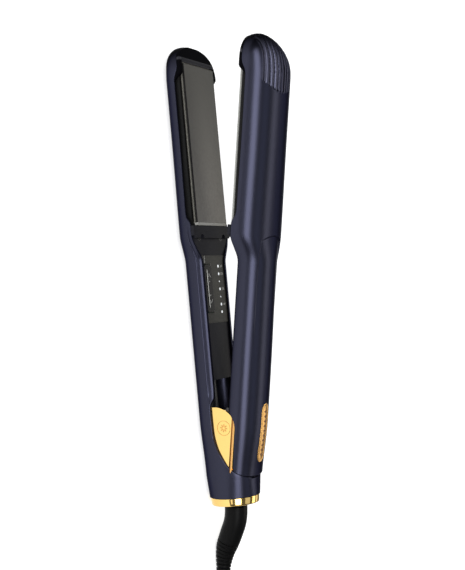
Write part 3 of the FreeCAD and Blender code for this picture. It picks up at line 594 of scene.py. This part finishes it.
def section_limits(arm, x, inset):
    """Near, far, low and high limits of the section, which all close on the tip, and its squareness."""
    middle, half_w, half_d, square = section(arm, x)
    tip = LENGTH - inset
    near = TIP_Y + (half_w - inset - TIP_Y) * quarter(x, NOSE_NEAR_X, tip)
    far = TIP_Y + (inset - half_w - TIP_Y) * quarter(x, NOSE_FAR_X, tip) ** arm["far_bend"]
    low = TIP_Z + (middle - half_d + inset - TIP_Z) * quarter(x, NOSE_DEEP_X, tip)
    high = TIP_Z + (middle + half_d - inset - TIP_Z) * quarter(x, NOSE_DEEP_X, tip)
    return near, far, low, high, square


def section_arc(arm, x, inset, rim, count):
    """Points (y, z) from the near edge line round the outer side to the far edge line."""
    near, far, low, high, square = section_limits(arm, x, inset)
    mid_y, mid_z = (near + far) / 2, (low + high) / 2
    half_y, half_z = (near - far) / 2, (high - low) / 2
    level = min(max((rim - mid_z) / max(half_z, 1e-6), -1.0), 1.0)
    start = math.asin(math.copysign(abs(level) ** (square / 2), level))
    angles = np.linspace(start, -math.pi - start, count)
    c, s = np.cos(angles), np.sin(angles)
    y = mid_y + half_y * np.sign(c) * np.abs(c) ** (2 / square)
    z = mid_z + half_z * np.sign(s) * np.abs(s) ** (2 / square)
    return y, z


def stations(start):
    """Places along the arm, closer together where the shape changes quickly."""
    marks = [(start, 0.25), (30.0, 1.0), (48.0, 0.6), (74.0, 2.5), (138.0, 1.0), (158.0, 0.35), (168.0, 0.5),
             (180.0, 2.5), (244.0, 0.35), (NOSE_DEEP_X, 0.0)]
    xs = []
    for (a, step), (b, _) in zip(marks, marks[1:]):
        count = max(1, round((b - a) / step))
        xs += [a + (b - a) * k / count for k in range(count)]
    steps = 84
    xs += [mix(NOSE_DEEP_X, LENGTH, math.sin(math.pi / 2 * k / steps)) for k in range(steps)]
    return xs + [LENGTH - 0.004]


def groove_wave(y):
    """1 in the middle of each of the eleven grooves and 0 on the ridges between."""
    return (0.5 + 0.5 * np.cos(2 * math.pi * (y - GROOVE_Y) / GROOVE_PITCH)) ** 2.2


def groove_zone(x, y, z):
    """1 where the grooves run over the tip, from ends on a shallow arc, and 0 elsewhere."""
    ends = GROOVE_END_X + GROOVE_END_BOW * (y - GROOVE_END_Y) ** 2
    along = ease(x, ends - 1.0, ends + 1.4)
    side = (-GROOVE_Y - 1.7, -GROOVE_Y - 1.5)
    across = ease(y, *side) * ease(-y, *side)
    outer = ease(-z, 5.2, 7.2)
    return along * across * outer


def tip_grooves(x, y, z):
    return GROOVE_DEPTH * groove_wave(y) * groove_zone(x, y, z)


def shoulder_ledge(x, y, z):
    """Depth of the shallow flat on the handle's back, which ends in a ledge at the shoulder."""
    front = LEDGE_X - LEDGE_BOW * y ** 2
    reach = ease(x, 70.0, 158.0) * ease(-x, -front - 0.35, -front + 0.35)
    across = ease(y, *LEDGE_SIDE) * ease(-y, *LEDGE_SIDE)
    return LEDGE_DEPTH * reach * across * (z < -10)


def edge_crease(x, y, z):
    """Depth of the crease below the lower casing's edge line, from the barrel to the shoulder."""
    line = np.vectorize(lambda place_x: through(LOWER_RIM, place_x))(x)
    depth = CREASE_DEPTH * np.exp(-((line - z - CREASE_DROP) / CREASE_WIDTH) ** 2)
    return depth * ease(x, 62.0, 72.0) * ease(-x, -171.0, -163.0)


def casing_row(arm, rim_line, x, inset):
    """One closed ring of a casing: its outer side, a rounded edge, its inner side and the other edge."""
    h = 0.05
    slope = (through(rim_line, x + h) - through(rim_line, x - h)) / (2 * h)
    tall = math.sqrt(1 + slope * slope)
    rim = through(rim_line, x) - EDGE_BEAD * tall
    ix = min(x, LENGTH - inset - 0.02)
    oy, oz = section_arc(arm, x, 0.0, rim, OUTER_COUNT)
    iy, iz = section_arc(arm, ix, inset, rim, INNER_COUNT)
    closed = oz[0] < rim - 0.02 and rim > 0

    def bridge(ay, az, by, bz):
        out = []
        for k in range(1, EDGE_STEPS):
            s = k / EDGE_STEPS
            swell = 0.0 if closed else EDGE_BEAD * math.sin(math.pi * s) ** 0.6
            out.append((mix(x, ix, s) - swell * slope / tall, mix(ay, by, s), mix(az, bz, s) + swell / tall))
        return out

    row = [(x, y, z) for y, z in zip(oy, oz)]
    row += bridge(oy[-1], oz[-1], iy[-1], iz[-1])
    row += [(ix, y, z) for y, z in zip(iy[::-1], iz[::-1])]
    return row + bridge(iy[0], iz[0], oy[0], oz[0])


def sink_relief(face, relief):
    """The outer side, moved inwards by the depth that each relief gives."""
    normal = np.cross(np.gradient(face, axis=0), np.gradient(face, axis=1))
    normal /= np.maximum(np.linalg.norm(normal, axis=2, keepdims=True), 1e-9)
    sample = (60, face.shape[1] // 2)
    middle = np.array([0.0, 0.0, -3.0])
    if np.sum(normal[sample] * (face[sample] - middle)) < 0:
        normal = -normal
    depth = sum(f(face[..., 0], face[..., 1], face[..., 2]) for f in relief)
    return face - normal * depth[..., None]


def clear_plate_well(grid):
    """Lowers whatever of the casing would stand in the plate's place."""
    gap, floor_z = 0.4, -3.3
    well = (np.abs(grid[..., 1]) < PLATE_HALF_W + gap)
    well &= (grid[..., 0] > PLATE_X0 - gap) & (grid[..., 0] < PLATE_X0 + PLATE_L + gap)
    grid[..., 2] = np.where(well, np.minimum(grid[..., 2], floor_z), grid[..., 2])


def groove_slots(face):
    """Material 1 on the ridges between the grooves, a painted highlight; 2 in the grooves, a painted shade;
    and 0 elsewhere.
    """
    x, y, z = (face[..., k] for k in range(3))
    grooved, wave = groove_zone(x, y, z) > 0.5, groove_wave(y)
    return np.where(grooved & (wave < 0.35), 1, np.where(grooved & (wave > 0.55), 2, 0))


def build_casing(name, arm, rim_line, start, wall, where, relief):
    grid = np.array([casing_row(arm, rim_line, x, wall(x)) for x in stations(start)])
    outside = grid[:, :OUTER_COUNT]
    outside[:] = sink_relief(outside, relief)
    clear_plate_well(grid)
    count, columns = grid.shape[:2]
    painted_light_slots = np.zeros((count, columns), dtype=int)
    # Painted highlight on the ridges and painted shade in the grooves of the tip.
    if tip_grooves in relief:
        painted_light_slots[:, :OUTER_COUNT] = groove_slots(outside)
    slots = painted_light_slots[:-1].flatten().tolist() + [0, 0]
    piece = make_piece(name, grid.reshape(-1, 3).tolist(), tube_faces(count, columns), NAVY, where, sharp=38,
                       slots=slots)
    piece.data.materials.append(NAVY_RIDGE_HIGHLIGHT)
    piece.data.materials.append(NAVY_GROOVE_SHADE)
    return piece


def upper_wall(x):
    """The upper casing's wall is thinner towards its rear end."""
    return mix(1.0, WALL, float(ease(x, 54, 60)))


def add_casings():
    lower = build_casing("lower_casing", LOWER, LOWER_RIM, RING_LEN, lambda x: WALL, place_nose,
                         [edge_crease])
    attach(lower, "lower_arm")
    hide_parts("lower_shell")
    upper = build_casing("upper_casing", UPPER, UPPER_RIM, 19.5, upper_wall, lift,
                         [tip_grooves, shoulder_ledge])
    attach(upper, "upper_arm")
    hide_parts("upper_shell")


def side_wall(arm, x, z, side):
    """How far across the casing's surface is at height z, on the near or far side."""
    near, far, low, high, square = section_limits(arm, x, 0.06)
    t = min(abs(z - (low + high) / 2) / ((high - low) / 2), 1.0)
    return (near + far) / 2 + side * (near - far) / 2 * (1 - t ** square) ** (1 / square)


def wall_points(arm, x, low, high, side):
    """Up the outer wall and round its top edge, as (x, y, z)."""
    edge = min(0.8, 0.5 * (high - low))
    heights = [mix(low, high - edge, k / 3) for k in range(3)]
    points = [(x, side_wall(arm, x, z, side), z) for z in heights]
    foot = side_wall(arm, x, high - edge, side)
    for k in range(6):
        a = math.pi / 2 * k / 5
        points.append((x, foot - side * edge * (1 - math.cos(a)), high - edge + edge * math.sin(a)))
    return points


def nose_ring(arm, rim_line, x):
    """A ring of the cap's nose: up the near wall, over the top with its bevel, and down the far wall."""
    high = min(CAP_TOP, section_limits(arm, x, 0.06)[3] - 0.02)
    low = min(through(rim_line, x) + 0.02, high - 0.05)
    near, far = wall_points(arm, x, low, high, 1), wall_points(arm, x, low, high, -1)
    dip = 1.5 * float(ease(-x, -271.6, -CAP_X[0])) ** 1.3
    across = []
    for k in range(1, 40):
        t = k / 40
        sunk = dip * float(ease(-abs(t - 0.5), -0.47, -0.43))
        across.append((x, mix(near[-1][1], far[-1][1], t), high - sunk))
    return near + across + far[::-1]


def ear_ring(arm, rim_line, x, side):
    """A ring of the ear along one side of the plate's end."""
    inner = PLATE_HALF_W + 0.5
    low = through(rim_line, x) + 0.02
    high = max(mix(low, CAP_TOP, float(ease(x, EAR_X[0], 262.5))), low + 0.03)
    wall = [(px, side * max(side * y, inner + 0.2), z) for px, y, z in wall_points(arm, x, low, high, side)]
    return wall + [(x, side * inner, high), (x, side * inner, low)]


def add_tip_cap(name, arm, rim_line, node, body, where):
    """The black nose beyond the plate, with an ear along each side of the plate's end, and a painted
    highlight on the bevel by the plate.
    """
    nose_xs = [mix(*CAP_X, math.sin(math.pi / 2 * k / 40)) for k in range(41)]
    ear_xs = [mix(*EAR_X, k / 30) for k in range(31)]
    nose = [nose_ring(arm, rim_line, x) for x in nose_xs]
    ears = [[ear_ring(arm, rim_line, x, side) for x in ear_xs] for side in (1, -1)]
    points, faces, slots = [], [], []
    for rings, facet_rings in ((nose, 5), (ears[0], 0), (ears[1], 0)):
        columns = len(rings[0])
        faces += tube_faces(len(rings), columns, len(points))
        points += [point for ring in rings for point in ring]
        # The first five rings of the nose, its bevel by the plate, take the lighter painted highlight.
        slots += [1] * (facet_rings * columns) + [0] * ((len(rings) - 1 - facet_rings) * columns + 2)
    cap = make_piece(name, points, faces, GLOSS, where, slots=slots)
    cap.data.materials.append(CAP_FACET_HIGHLIGHT)
    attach(cap, body)
    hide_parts(node)


# ---------------------------------------------------------------- plates

def add_plate(name, node, body, where, lip_metal, groove_colour):
    """The heater plate: satin face, grooved long edges, and a thin lip and ramp at its rear end."""
    x0, x1, half = PLATE_X0 - PLATE_LIP, PLATE_X0 + PLATE_L, PLATE_HALF_W
    chamfer, ramp = 0.9, 1.5
    xs = [x0, x0 + 0.04, x0 + ramp / 3, PLATE_X0 - 0.04, PLATE_X0 + 0.04, x0 + ramp]
    xs += [x0 + ramp + 0.1 + (x1 - x0 - ramp - 1.1) * k / 60 for k in range(61)]
    xs += [x1 - chamfer * k / 3 for k in (3, 2, 1)] + [x1 - 0.04, x1]
    lip = [(half, -PLATE_T), (half, -1.55), (half - 0.12, -1.4), (half - 0.75, -1.36), (half - 0.8, -1.25),
           (half - 0.8, -1.0), (half - 0.5, -0.9), (half - 0.42, -0.7), (half - 0.42, -0.3),
           (half - 0.52, -0.1), (half - 0.75, 0.0)]
    points, columns = [], 0
    for x in xs:
        top = -chamfer + min((x - x0) * chamfer / ramp, x1 - x, chamfer)
        lowest = -1.5 if x < PLATE_X0 else -PLATE_T
        side = []
        for k, (y, z) in enumerate(lip):
            below_top = min(z, top - 0.01 * (len(lip) - k))
            side.append((y, max(below_top, lowest + 0.001 * k)))
        face = [(y, top) for y in np.linspace(half - 0.85, 0.85 - half, 41)]
        ring = side + face + [(-y, z) for y, z in reversed(side)]
        columns = len(ring)
        points += [(x, y, z) for y, z in ring]
    faces = tube_faces(len(xs), columns)
    lips = len(lip)
    # Slot 2 is the groove beside the lip; on the lower plate it takes a near black as painted shade.
    column_slot = [1 if k < 4 else 2 for k in range(lips)] + [0] * 40
    column_slot += [2 if k < lips - 4 else 1 for k in range(lips)] + [2]
    slots = []
    for i in range(len(xs) - 1):
        slots += [3] * columns if i < 5 else [1] * columns if i >= len(xs) - 5 else column_slot
    plate = make_piece(name, points, faces, CERAMIC, where, sharp=25, slots=slots + [1, 1])
    plate.data.materials.append(lip_metal)
    plate.data.materials.append(groove_colour)
    plate.data.materials.append(PLATE_END)
    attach(plate, body)
    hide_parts(node)


# ---------------------------------------------------------------- panel, key and badge

def add_text(name, words, height, x, y, z, body, material):
    """A line of print: reads across the iron, with its top towards the tip."""
    data = bpy.data.curves.new(name, "FONT")
    data.body = words
    data.size = height / 1000
    data.align_x, data.align_y = "LEFT", "CENTER"
    data.extrude = 0.00001
    label = bpy.data.objects.new(name + "_guide", data)
    bpy.context.scene.collection.objects.link(label)
    mesh = bpy.data.meshes.new_from_object(label.evaluated_get(bpy.context.evaluated_depsgraph_get()))
    bpy.data.objects.remove(label)
    turn = Matrix(((0, 1, 0), (-1, 0, 0), (0, 0, 1))).to_4x4()
    mesh.transform(Matrix.Translation(place(x, y, z)) @ turn)
    mesh.materials.clear()
    mesh.materials.append(material)
    piece = bpy.data.objects.new(name, mesh)
    bpy.context.scene.collection.objects.link(piece)
    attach(piece, body)


def stroke(points, width):
    """A flat polyline in (x, y), as quads of the given width."""
    verts, faces = [], []
    for (xa, ya), (xb, yb) in zip(points, points[1:]):
        length = math.hypot(xb - xa, yb - ya)
        nx, ny = -(yb - ya) / length * width / 2, (xb - xa) / length * width / 2
        base = len(verts)
        verts += [(xa + nx, ya + ny), (xb + nx, yb + ny), (xb - nx, yb - ny), (xa - nx, ya - ny)]
        faces.append((base, base + 1, base + 2, base + 3))
    return verts, faces


def add_print(name, strokes, z, body, material, width):
    """Printed strokes as one thin piece, 0.02 mm thick."""
    points, faces = [], []
    for line in strokes:
        flat, quads = stroke(line, width)
        for lift_by in (0.0, 0.02):
            base = len(points)
            points += [(x, y, z + lift_by) for x, y in flat]
            faces += [tuple(base + v for v in quad) for quad in quads]
        low, high = len(points) - 2 * len(flat), len(points) - len(flat)
        for a, b, c, d in quads:
            for u, v in ((a, b), (b, c), (c, d), (d, a)):
                faces.append((low + u, low + v, high + v, high + u))
    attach(make_piece(name, points, faces, material), body)


def add_panel_details():
    """The numbers under the lamps, the line beside the key and the far trim line."""
    print_z = PANEL_TOP + 0.005
    spacing = (LED_X1 - LED_X0) / 6
    for place_number, degrees in ((6, "220"), (5, "200"), (3, "180"), (1, "160")):
        x = LED_X0 + spacing * place_number
        add_text("panel_number_" + degrees, degrees, 2.1, x, LED_Y - 1.9, print_z, "lower_arm", PRINT)
    frame_line = [(KEY_X0 - 0.7, KEY_Y0 - 0.6), (KEY_X0 + KEY_L + 0.7, KEY_Y0 - 0.6)]
    add_print("panel_key_line", [frame_line], print_z, "lower_arm", PRINT_DIM, width=0.16)
    edge_y = 10.1
    trim = [(PANEL_TOP - 0.2, edge_y), (PANEL_TOP + 0.06, edge_y), (PANEL_TOP + 0.06, edge_y - 0.35),
            (PANEL_TOP - 0.2, edge_y - 0.35)]
    points = []
    for x in (KEY_X0 + KEY_L + 1.0, KEY_X0 + KEY_L + 3.0, 151.2):
        points += [(x, y, z) for z, y in trim]
    piece = make_piece("panel_trim_line", points, tube_faces(3, 4), PRINT)
    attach(piece, "lower_arm")


def add_key_marks():
    """The arrows and dots on the rocker key, and a painted highlight along its ridge."""
    mid, ridge_y = KEY_Y0 + 3.4, KEY_Y0 + 5.9
    key_z, ridge_z = PANEL_TOP + 0.555, PANEL_TOP + 0.86
    up = [(138.2, mid + 1.6), (140.4, mid), (138.2, mid - 1.6)]
    down = [(124.6, mid + 1.6), (122.4, mid), (124.6, mid - 1.6)]
    dots = [[(x - 0.35, mid), (x + 0.35, mid)] for x in (135.6, 127.2)]
    add_print("key_marks", [up, down], key_z, "temperature_key", PRINT, width=0.32)
    add_print("key_dots", dots, key_z, "temperature_key", PRINT, width=0.7)
    # The light line along the key's ridge is a painted highlight.
    ridge = [(KEY_X0 + 3.1, ridge_y), (KEY_X0 + KEY_L - 3.1, ridge_y)]
    add_print("key_ridge_line", [ridge], ridge_z, "temperature_key", KEY_RIDGE_HIGHLIGHT, width=0.6)


def badge_place(x, y, proud):
    """A point on the upper casing's back, a little proud of it."""
    near, far, low, high, square = section_limits(UPPER, x, -proud)
    half_y, half_z = (near - far) / 2, (high - low) / 2
    share = max(0.0, 1 - abs(y / half_y) ** square)
    return x, y, (low + high) / 2 - half_z * share ** (1 / square)


def add_badge():
    """A long oval plate with a rounded rim."""
    x0, x1, half = 27.5, 63.5, 4.2
    steps = [(0.0, -0.6), (0.0, 0.12), (0.12, 0.25), (0.3, 0.3), (0.62, 0.3), (0.8, 0.22), (0.95, 0.18),
             (2.0, 0.18), (3.0, 0.18), (4.19, 0.18)]
    points, around = [], 96
    for inset, proud in steps:
        r = half - inset
        ends = [math.pi * k / 24 for k in range(25)]
        run = [mix(x1 - half, x0 + half, k / 24) for k in range(1, 24)]
        ring = [(x1 - half + r * math.sin(a), BADGE_Y - r * math.cos(a)) for a in ends]
        ring += [(x, BADGE_Y + r) for x in run]
        ring += [(x0 + half - r * math.sin(a), BADGE_Y + r * math.cos(a)) for a in ends]
        ring += [(x, BADGE_Y - r) for x in reversed(run)]
        points += [badge_place(x, y, proud) for x, y in ring]
    faces = grid_faces(len(steps), around, False, True)
    faces.append(tuple(range(around)))
    piece = make_piece("badge_plate", points, faces, BADGE_GOLD_AND_FOLD_SHEEN, lift)
    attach(piece, "upper_arm")
    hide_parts("badge")


def add_lozenges():
    """A row of plain lozenges on the badge, where a name would be."""
    first_x, pitch = 32.2, 2.92
    points, faces = [], []
    for k in range(10):
        x = first_x + pitch * k
        base = len(points)
        shape = [(x + 1.0, 0.0), (x, 1.6), (x - 1.0, 0.0), (x, -1.6)]
        for proud in (0.19, 0.23):
            points += [badge_place(px, BADGE_Y + py, proud) for px, py in shape]
        faces += [(base, base + 1, base + 2, base + 3), (base + 4, base + 5, base + 6, base + 7)]
        faces += [(base + i, base + (i + 1) % 4, base + 4 + (i + 1) % 4, base + 4 + i) for i in range(4)]
    marks = make_piece("badge_lozenges", points, faces, BROWN, lift)
    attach(marks, "upper_arm")


def petal(turn, base):
    """Points (out, a, b) and faces of one raised petal, turned about the rosette's middle."""
    around, reach, half_length, half_width = 16, 1.62, 0.95, 0.42
    c, s = math.cos(turn), math.sin(turn)
    outline = []
    for k in range(around):
        a = 2 * math.pi * k / around
        r, w = reach + half_length * math.cos(a), half_width * math.sin(a)
        outline.append((r * c - w * s, r * s + w * c))
    points = [(out, a, b) for out in (0.0, 0.07) for a, b in outline] + [(0.12, reach * c, reach * s)]
    top, peak = base + around, base + 2 * around
    pairs = [(k, (k + 1) % around) for k in range(around)]
    faces = [(base + k, base + after, top + after, top + k) for k, after in pairs]
    faces += [(top + k, top + after, peak) for k, after in pairs]
    return points, faces + [tuple(base + k for k in range(around))]


def add_gold_details():
    """A raised ring and a plain eight-petal rosette on each hinge plate."""
    for side, name in ((1, "near"), (-1, "far")):
        def on_plate(out, a, b, side=side):
            return lift(MEDALLION[0] + a, side * (GOLD_FACE + out), MEDALLION[1] + b)

        profile = [(0.0, 4.15), (0.1, 4.17), (0.14, 4.25), (0.14, 4.42), (0.1, 4.5), (0.0, 4.52)]
        ring = lathe("medallion_ring_" + name, profile, (0, 0), BRONZE, on_plate, turns=72)
        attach(ring, "upper_arm")
        points, faces = [], []
        for k in range(8):
            petal_points, petal_faces = petal(math.pi / 4 * k, len(points))
            points += petal_points
            faces += petal_faces
        rosette = make_piece("medallion_rosette_" + name, points, faces, BRONZE, on_plate)
        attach(rosette, "upper_arm")


def add_gold_folds():
    """A thin skin on the folded-in lower edge of each hinge plate, painted in two bands: a dark orange
    painted shade and a warm gold painted sheen.
    """
    skin_t = 0.03
    shares = [k / 12 for k in range(13)]
    rows = [(-6.55, 21.6, 54.9), (-7.2, 21.5, 54.2), (-7.9, 21.7, 53.3), (-8.5, 21.9, 52.3),
            (-9.3, 23.3, 50.3)]
    for side, name in ((1, "near"), (-1, "far")):
        points = []
        for z, start, end in rows:
            y = GOLD_FACE + (-6.5 - z) * 1.7 / 3.2
            points += [(mix(start, end, t), side * y, z) for t in shares]
            points += [(mix(start, end, t), side * (y + skin_t), z) for t in reversed(shares)]
        columns = 2 * len(shares)
        faces = tube_faces(len(rows), columns)
        # The first two rows take the dark orange painted shade, the rest the warm gold painted sheen.
        slots = [int(k >= 2) for k in range(len(rows) - 1) for _ in range(columns)] + [0, 0]
        fold = make_piece("gold_fold_painted_shade_" + name, points, faces, FOLD_PAINTED_SHADE, lift, slots=slots)
        fold.data.materials.append(BADGE_GOLD_AND_FOLD_SHEEN)
        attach(fold, "upper_arm")


def add_end_ring():
    """The polished collar: a short cone with rounded edges, open for the swivel."""
    profile = [(0.0, 7.95), (0.0, 13.9), (0.12, 14.3), (0.4, 14.55), (0.8, 14.65), (4.1, 14.95), (4.5, 14.9),
               (4.75, 14.7), (4.8, 14.4), (4.8, 7.95)]
    ring = lathe("end_collar", profile, (0.0, RING_CENTRE), GOLD)
    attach(ring, "lower_arm")
    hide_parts("end_ring")


def add_plug():
    """The plug on top of the hank: a ribbed grip, a wider face and a waisted entry for the cord."""
    x0, y0, z0 = -163.0, -14.0, HANK_Z0 + HANK_H
    grip_z, neck_z, pin_z, pin_y = z0 + 6.98, z0 + 6.7, z0 + 6.9, 9.5
    shape = [(0.0, 6.1, 5.0), (0.4, 8.4, 6.2), (1.4, 9.6, 6.55), (3.0, 10.2, 6.7)]
    for k in range(6):
        x = 4.5 + 2.6 * k
        shape += [(x, 10.4, 6.7), (x + 0.5, 9.8, 6.3), (x + 1.0, 9.8, 6.3), (x + 1.5, 10.4, 6.7)]
    shape += [(21.5, 10.5, 6.7), (23.6, 11.0, 6.7), (25.2, 12.9, 6.85), (26.2, 13.5, 6.9), (29.2, 13.6, 6.92),
              (29.8, 13.3, 6.7), (30.0, 12.9, 6.4)]
    points, around = [], 64
    for x, half_y, half_z in shape:
        for k in range(around):
            a = 2 * math.pi * k / around
            c, s = math.cos(a), math.sin(a)
            points.append((x0 + x, y0 + half_y * math.copysign(abs(c) ** 0.5, c),
                           grip_z + half_z * math.copysign(abs(s) ** 0.5, s)))
    body = make_piece("plug_grip", points, tube_faces(len(shape), around), RUBBER)
    neck_profile = [(-11.8, 3.55), (-11.8, 4.4), (-11.4, 4.7)]
    for k in range(4):
        x = -10.6 + 2.6 * k
        neck_profile += [(x, 4.8 + 0.34 * k), (x + 0.9, 4.9 + 0.36 * k), (x + 1.1, 4.35 + 0.34 * k),
                         (x + 1.7, 4.4 + 0.34 * k)]
    neck_profile += [(0.2, 6.1), (0.2, 3.55)]
    neck = lathe("plug_neck", [(x0 + x, r) for x, r in neck_profile], (y0, neck_z), RUBBER)
    for piece in (body, neck):
        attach(piece, "lower_arm")
    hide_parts("plug_body")
    pins = []
    pin_profile = [(30.02, 0.02), (30.02, 2.4), (45.2, 2.4), (45.7, 2.15), (45.95, 1.6), (46.0, 0.02)]
    for side, label in ((-1, "far"), (1, "near")):
        pin = lathe("plug_pin_" + label, [(x0 + x, r) for x, r in pin_profile],
                    (y0 + pin_y * side, pin_z), STEEL, turns=48)
        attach(pin, "lower_arm")
        pins.append(pin)
    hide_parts("plug_pins")
    return [body, neck] + pins


FINISH = {
    "tip_cap": GLOSS, "inner_cover": COVER, "control_panel": PANEL, "light_guides": LAMP,
    "rocker_key": KEYCAP, "screws": SCREW, "plate_tray": TRAY_BLACK_AND_GROOVE_SHADE, "hinge_plate": GOLD,
    "hinge_bracket": CHARCOAL, "hinge_frame": CHARCOAL, "key_bearings": ACETAL, "tact_switches": CHIP,
    "control_board": BOARD, "board_parts": CHIP, "hinge_pin": STEEL, "hinge_sleeve": ACETAL,
    "opening_spring": STEEL, "swivel_bushing": ACETAL, "swivel_barrel": RUBBER, "contact_rings": COPPER,
    "contact_brushes": COPPER, "mains_wires": WIRE, "leads": WIRE, "thermal_fuse": WIRE,
    "ptc_heater": HEATER, "insulator": MICA, "clamp_bar": STEEL, "plate_sensor": SILICONE,
    "plate_springs": SILICONE,
}


def finish_nodes():
    """Procedural finishes for the CAD nodes that stay."""
    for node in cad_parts:
        found = [m for key, m in FINISH.items() if key in node]
        piece = bpy.data.objects.get(node)
        if found and piece is not None:
            piece.data.materials.clear()
            piece.data.materials.append(found[0])


add_casings()
add_tip_cap("lower_nose", LOWER, LOWER_RIM, "lower_tip_cap", "lower_arm", place_nose)
add_tip_cap("upper_nose", UPPER, UPPER_RIM, "upper_tip_cap", "upper_arm", lift)
# The lower plate's groove takes the tray's near black: painted shade.
add_plate("lower_plate_face", "lower_heater_plate", "lower_plate", place, PLATE_EDGE, TRAY_BLACK_AND_GROOVE_SHADE)
add_plate("upper_plate_face", "upper_heater_plate", "upper_plate", lift, PLATE_BRIGHT, PLATE_BRIGHT)
add_panel_details()
add_key_marks()
add_badge()
add_lozenges()
add_gold_details()
add_gold_folds()
add_end_ring()
ON_CORD = add_plug()
finish_nodes()
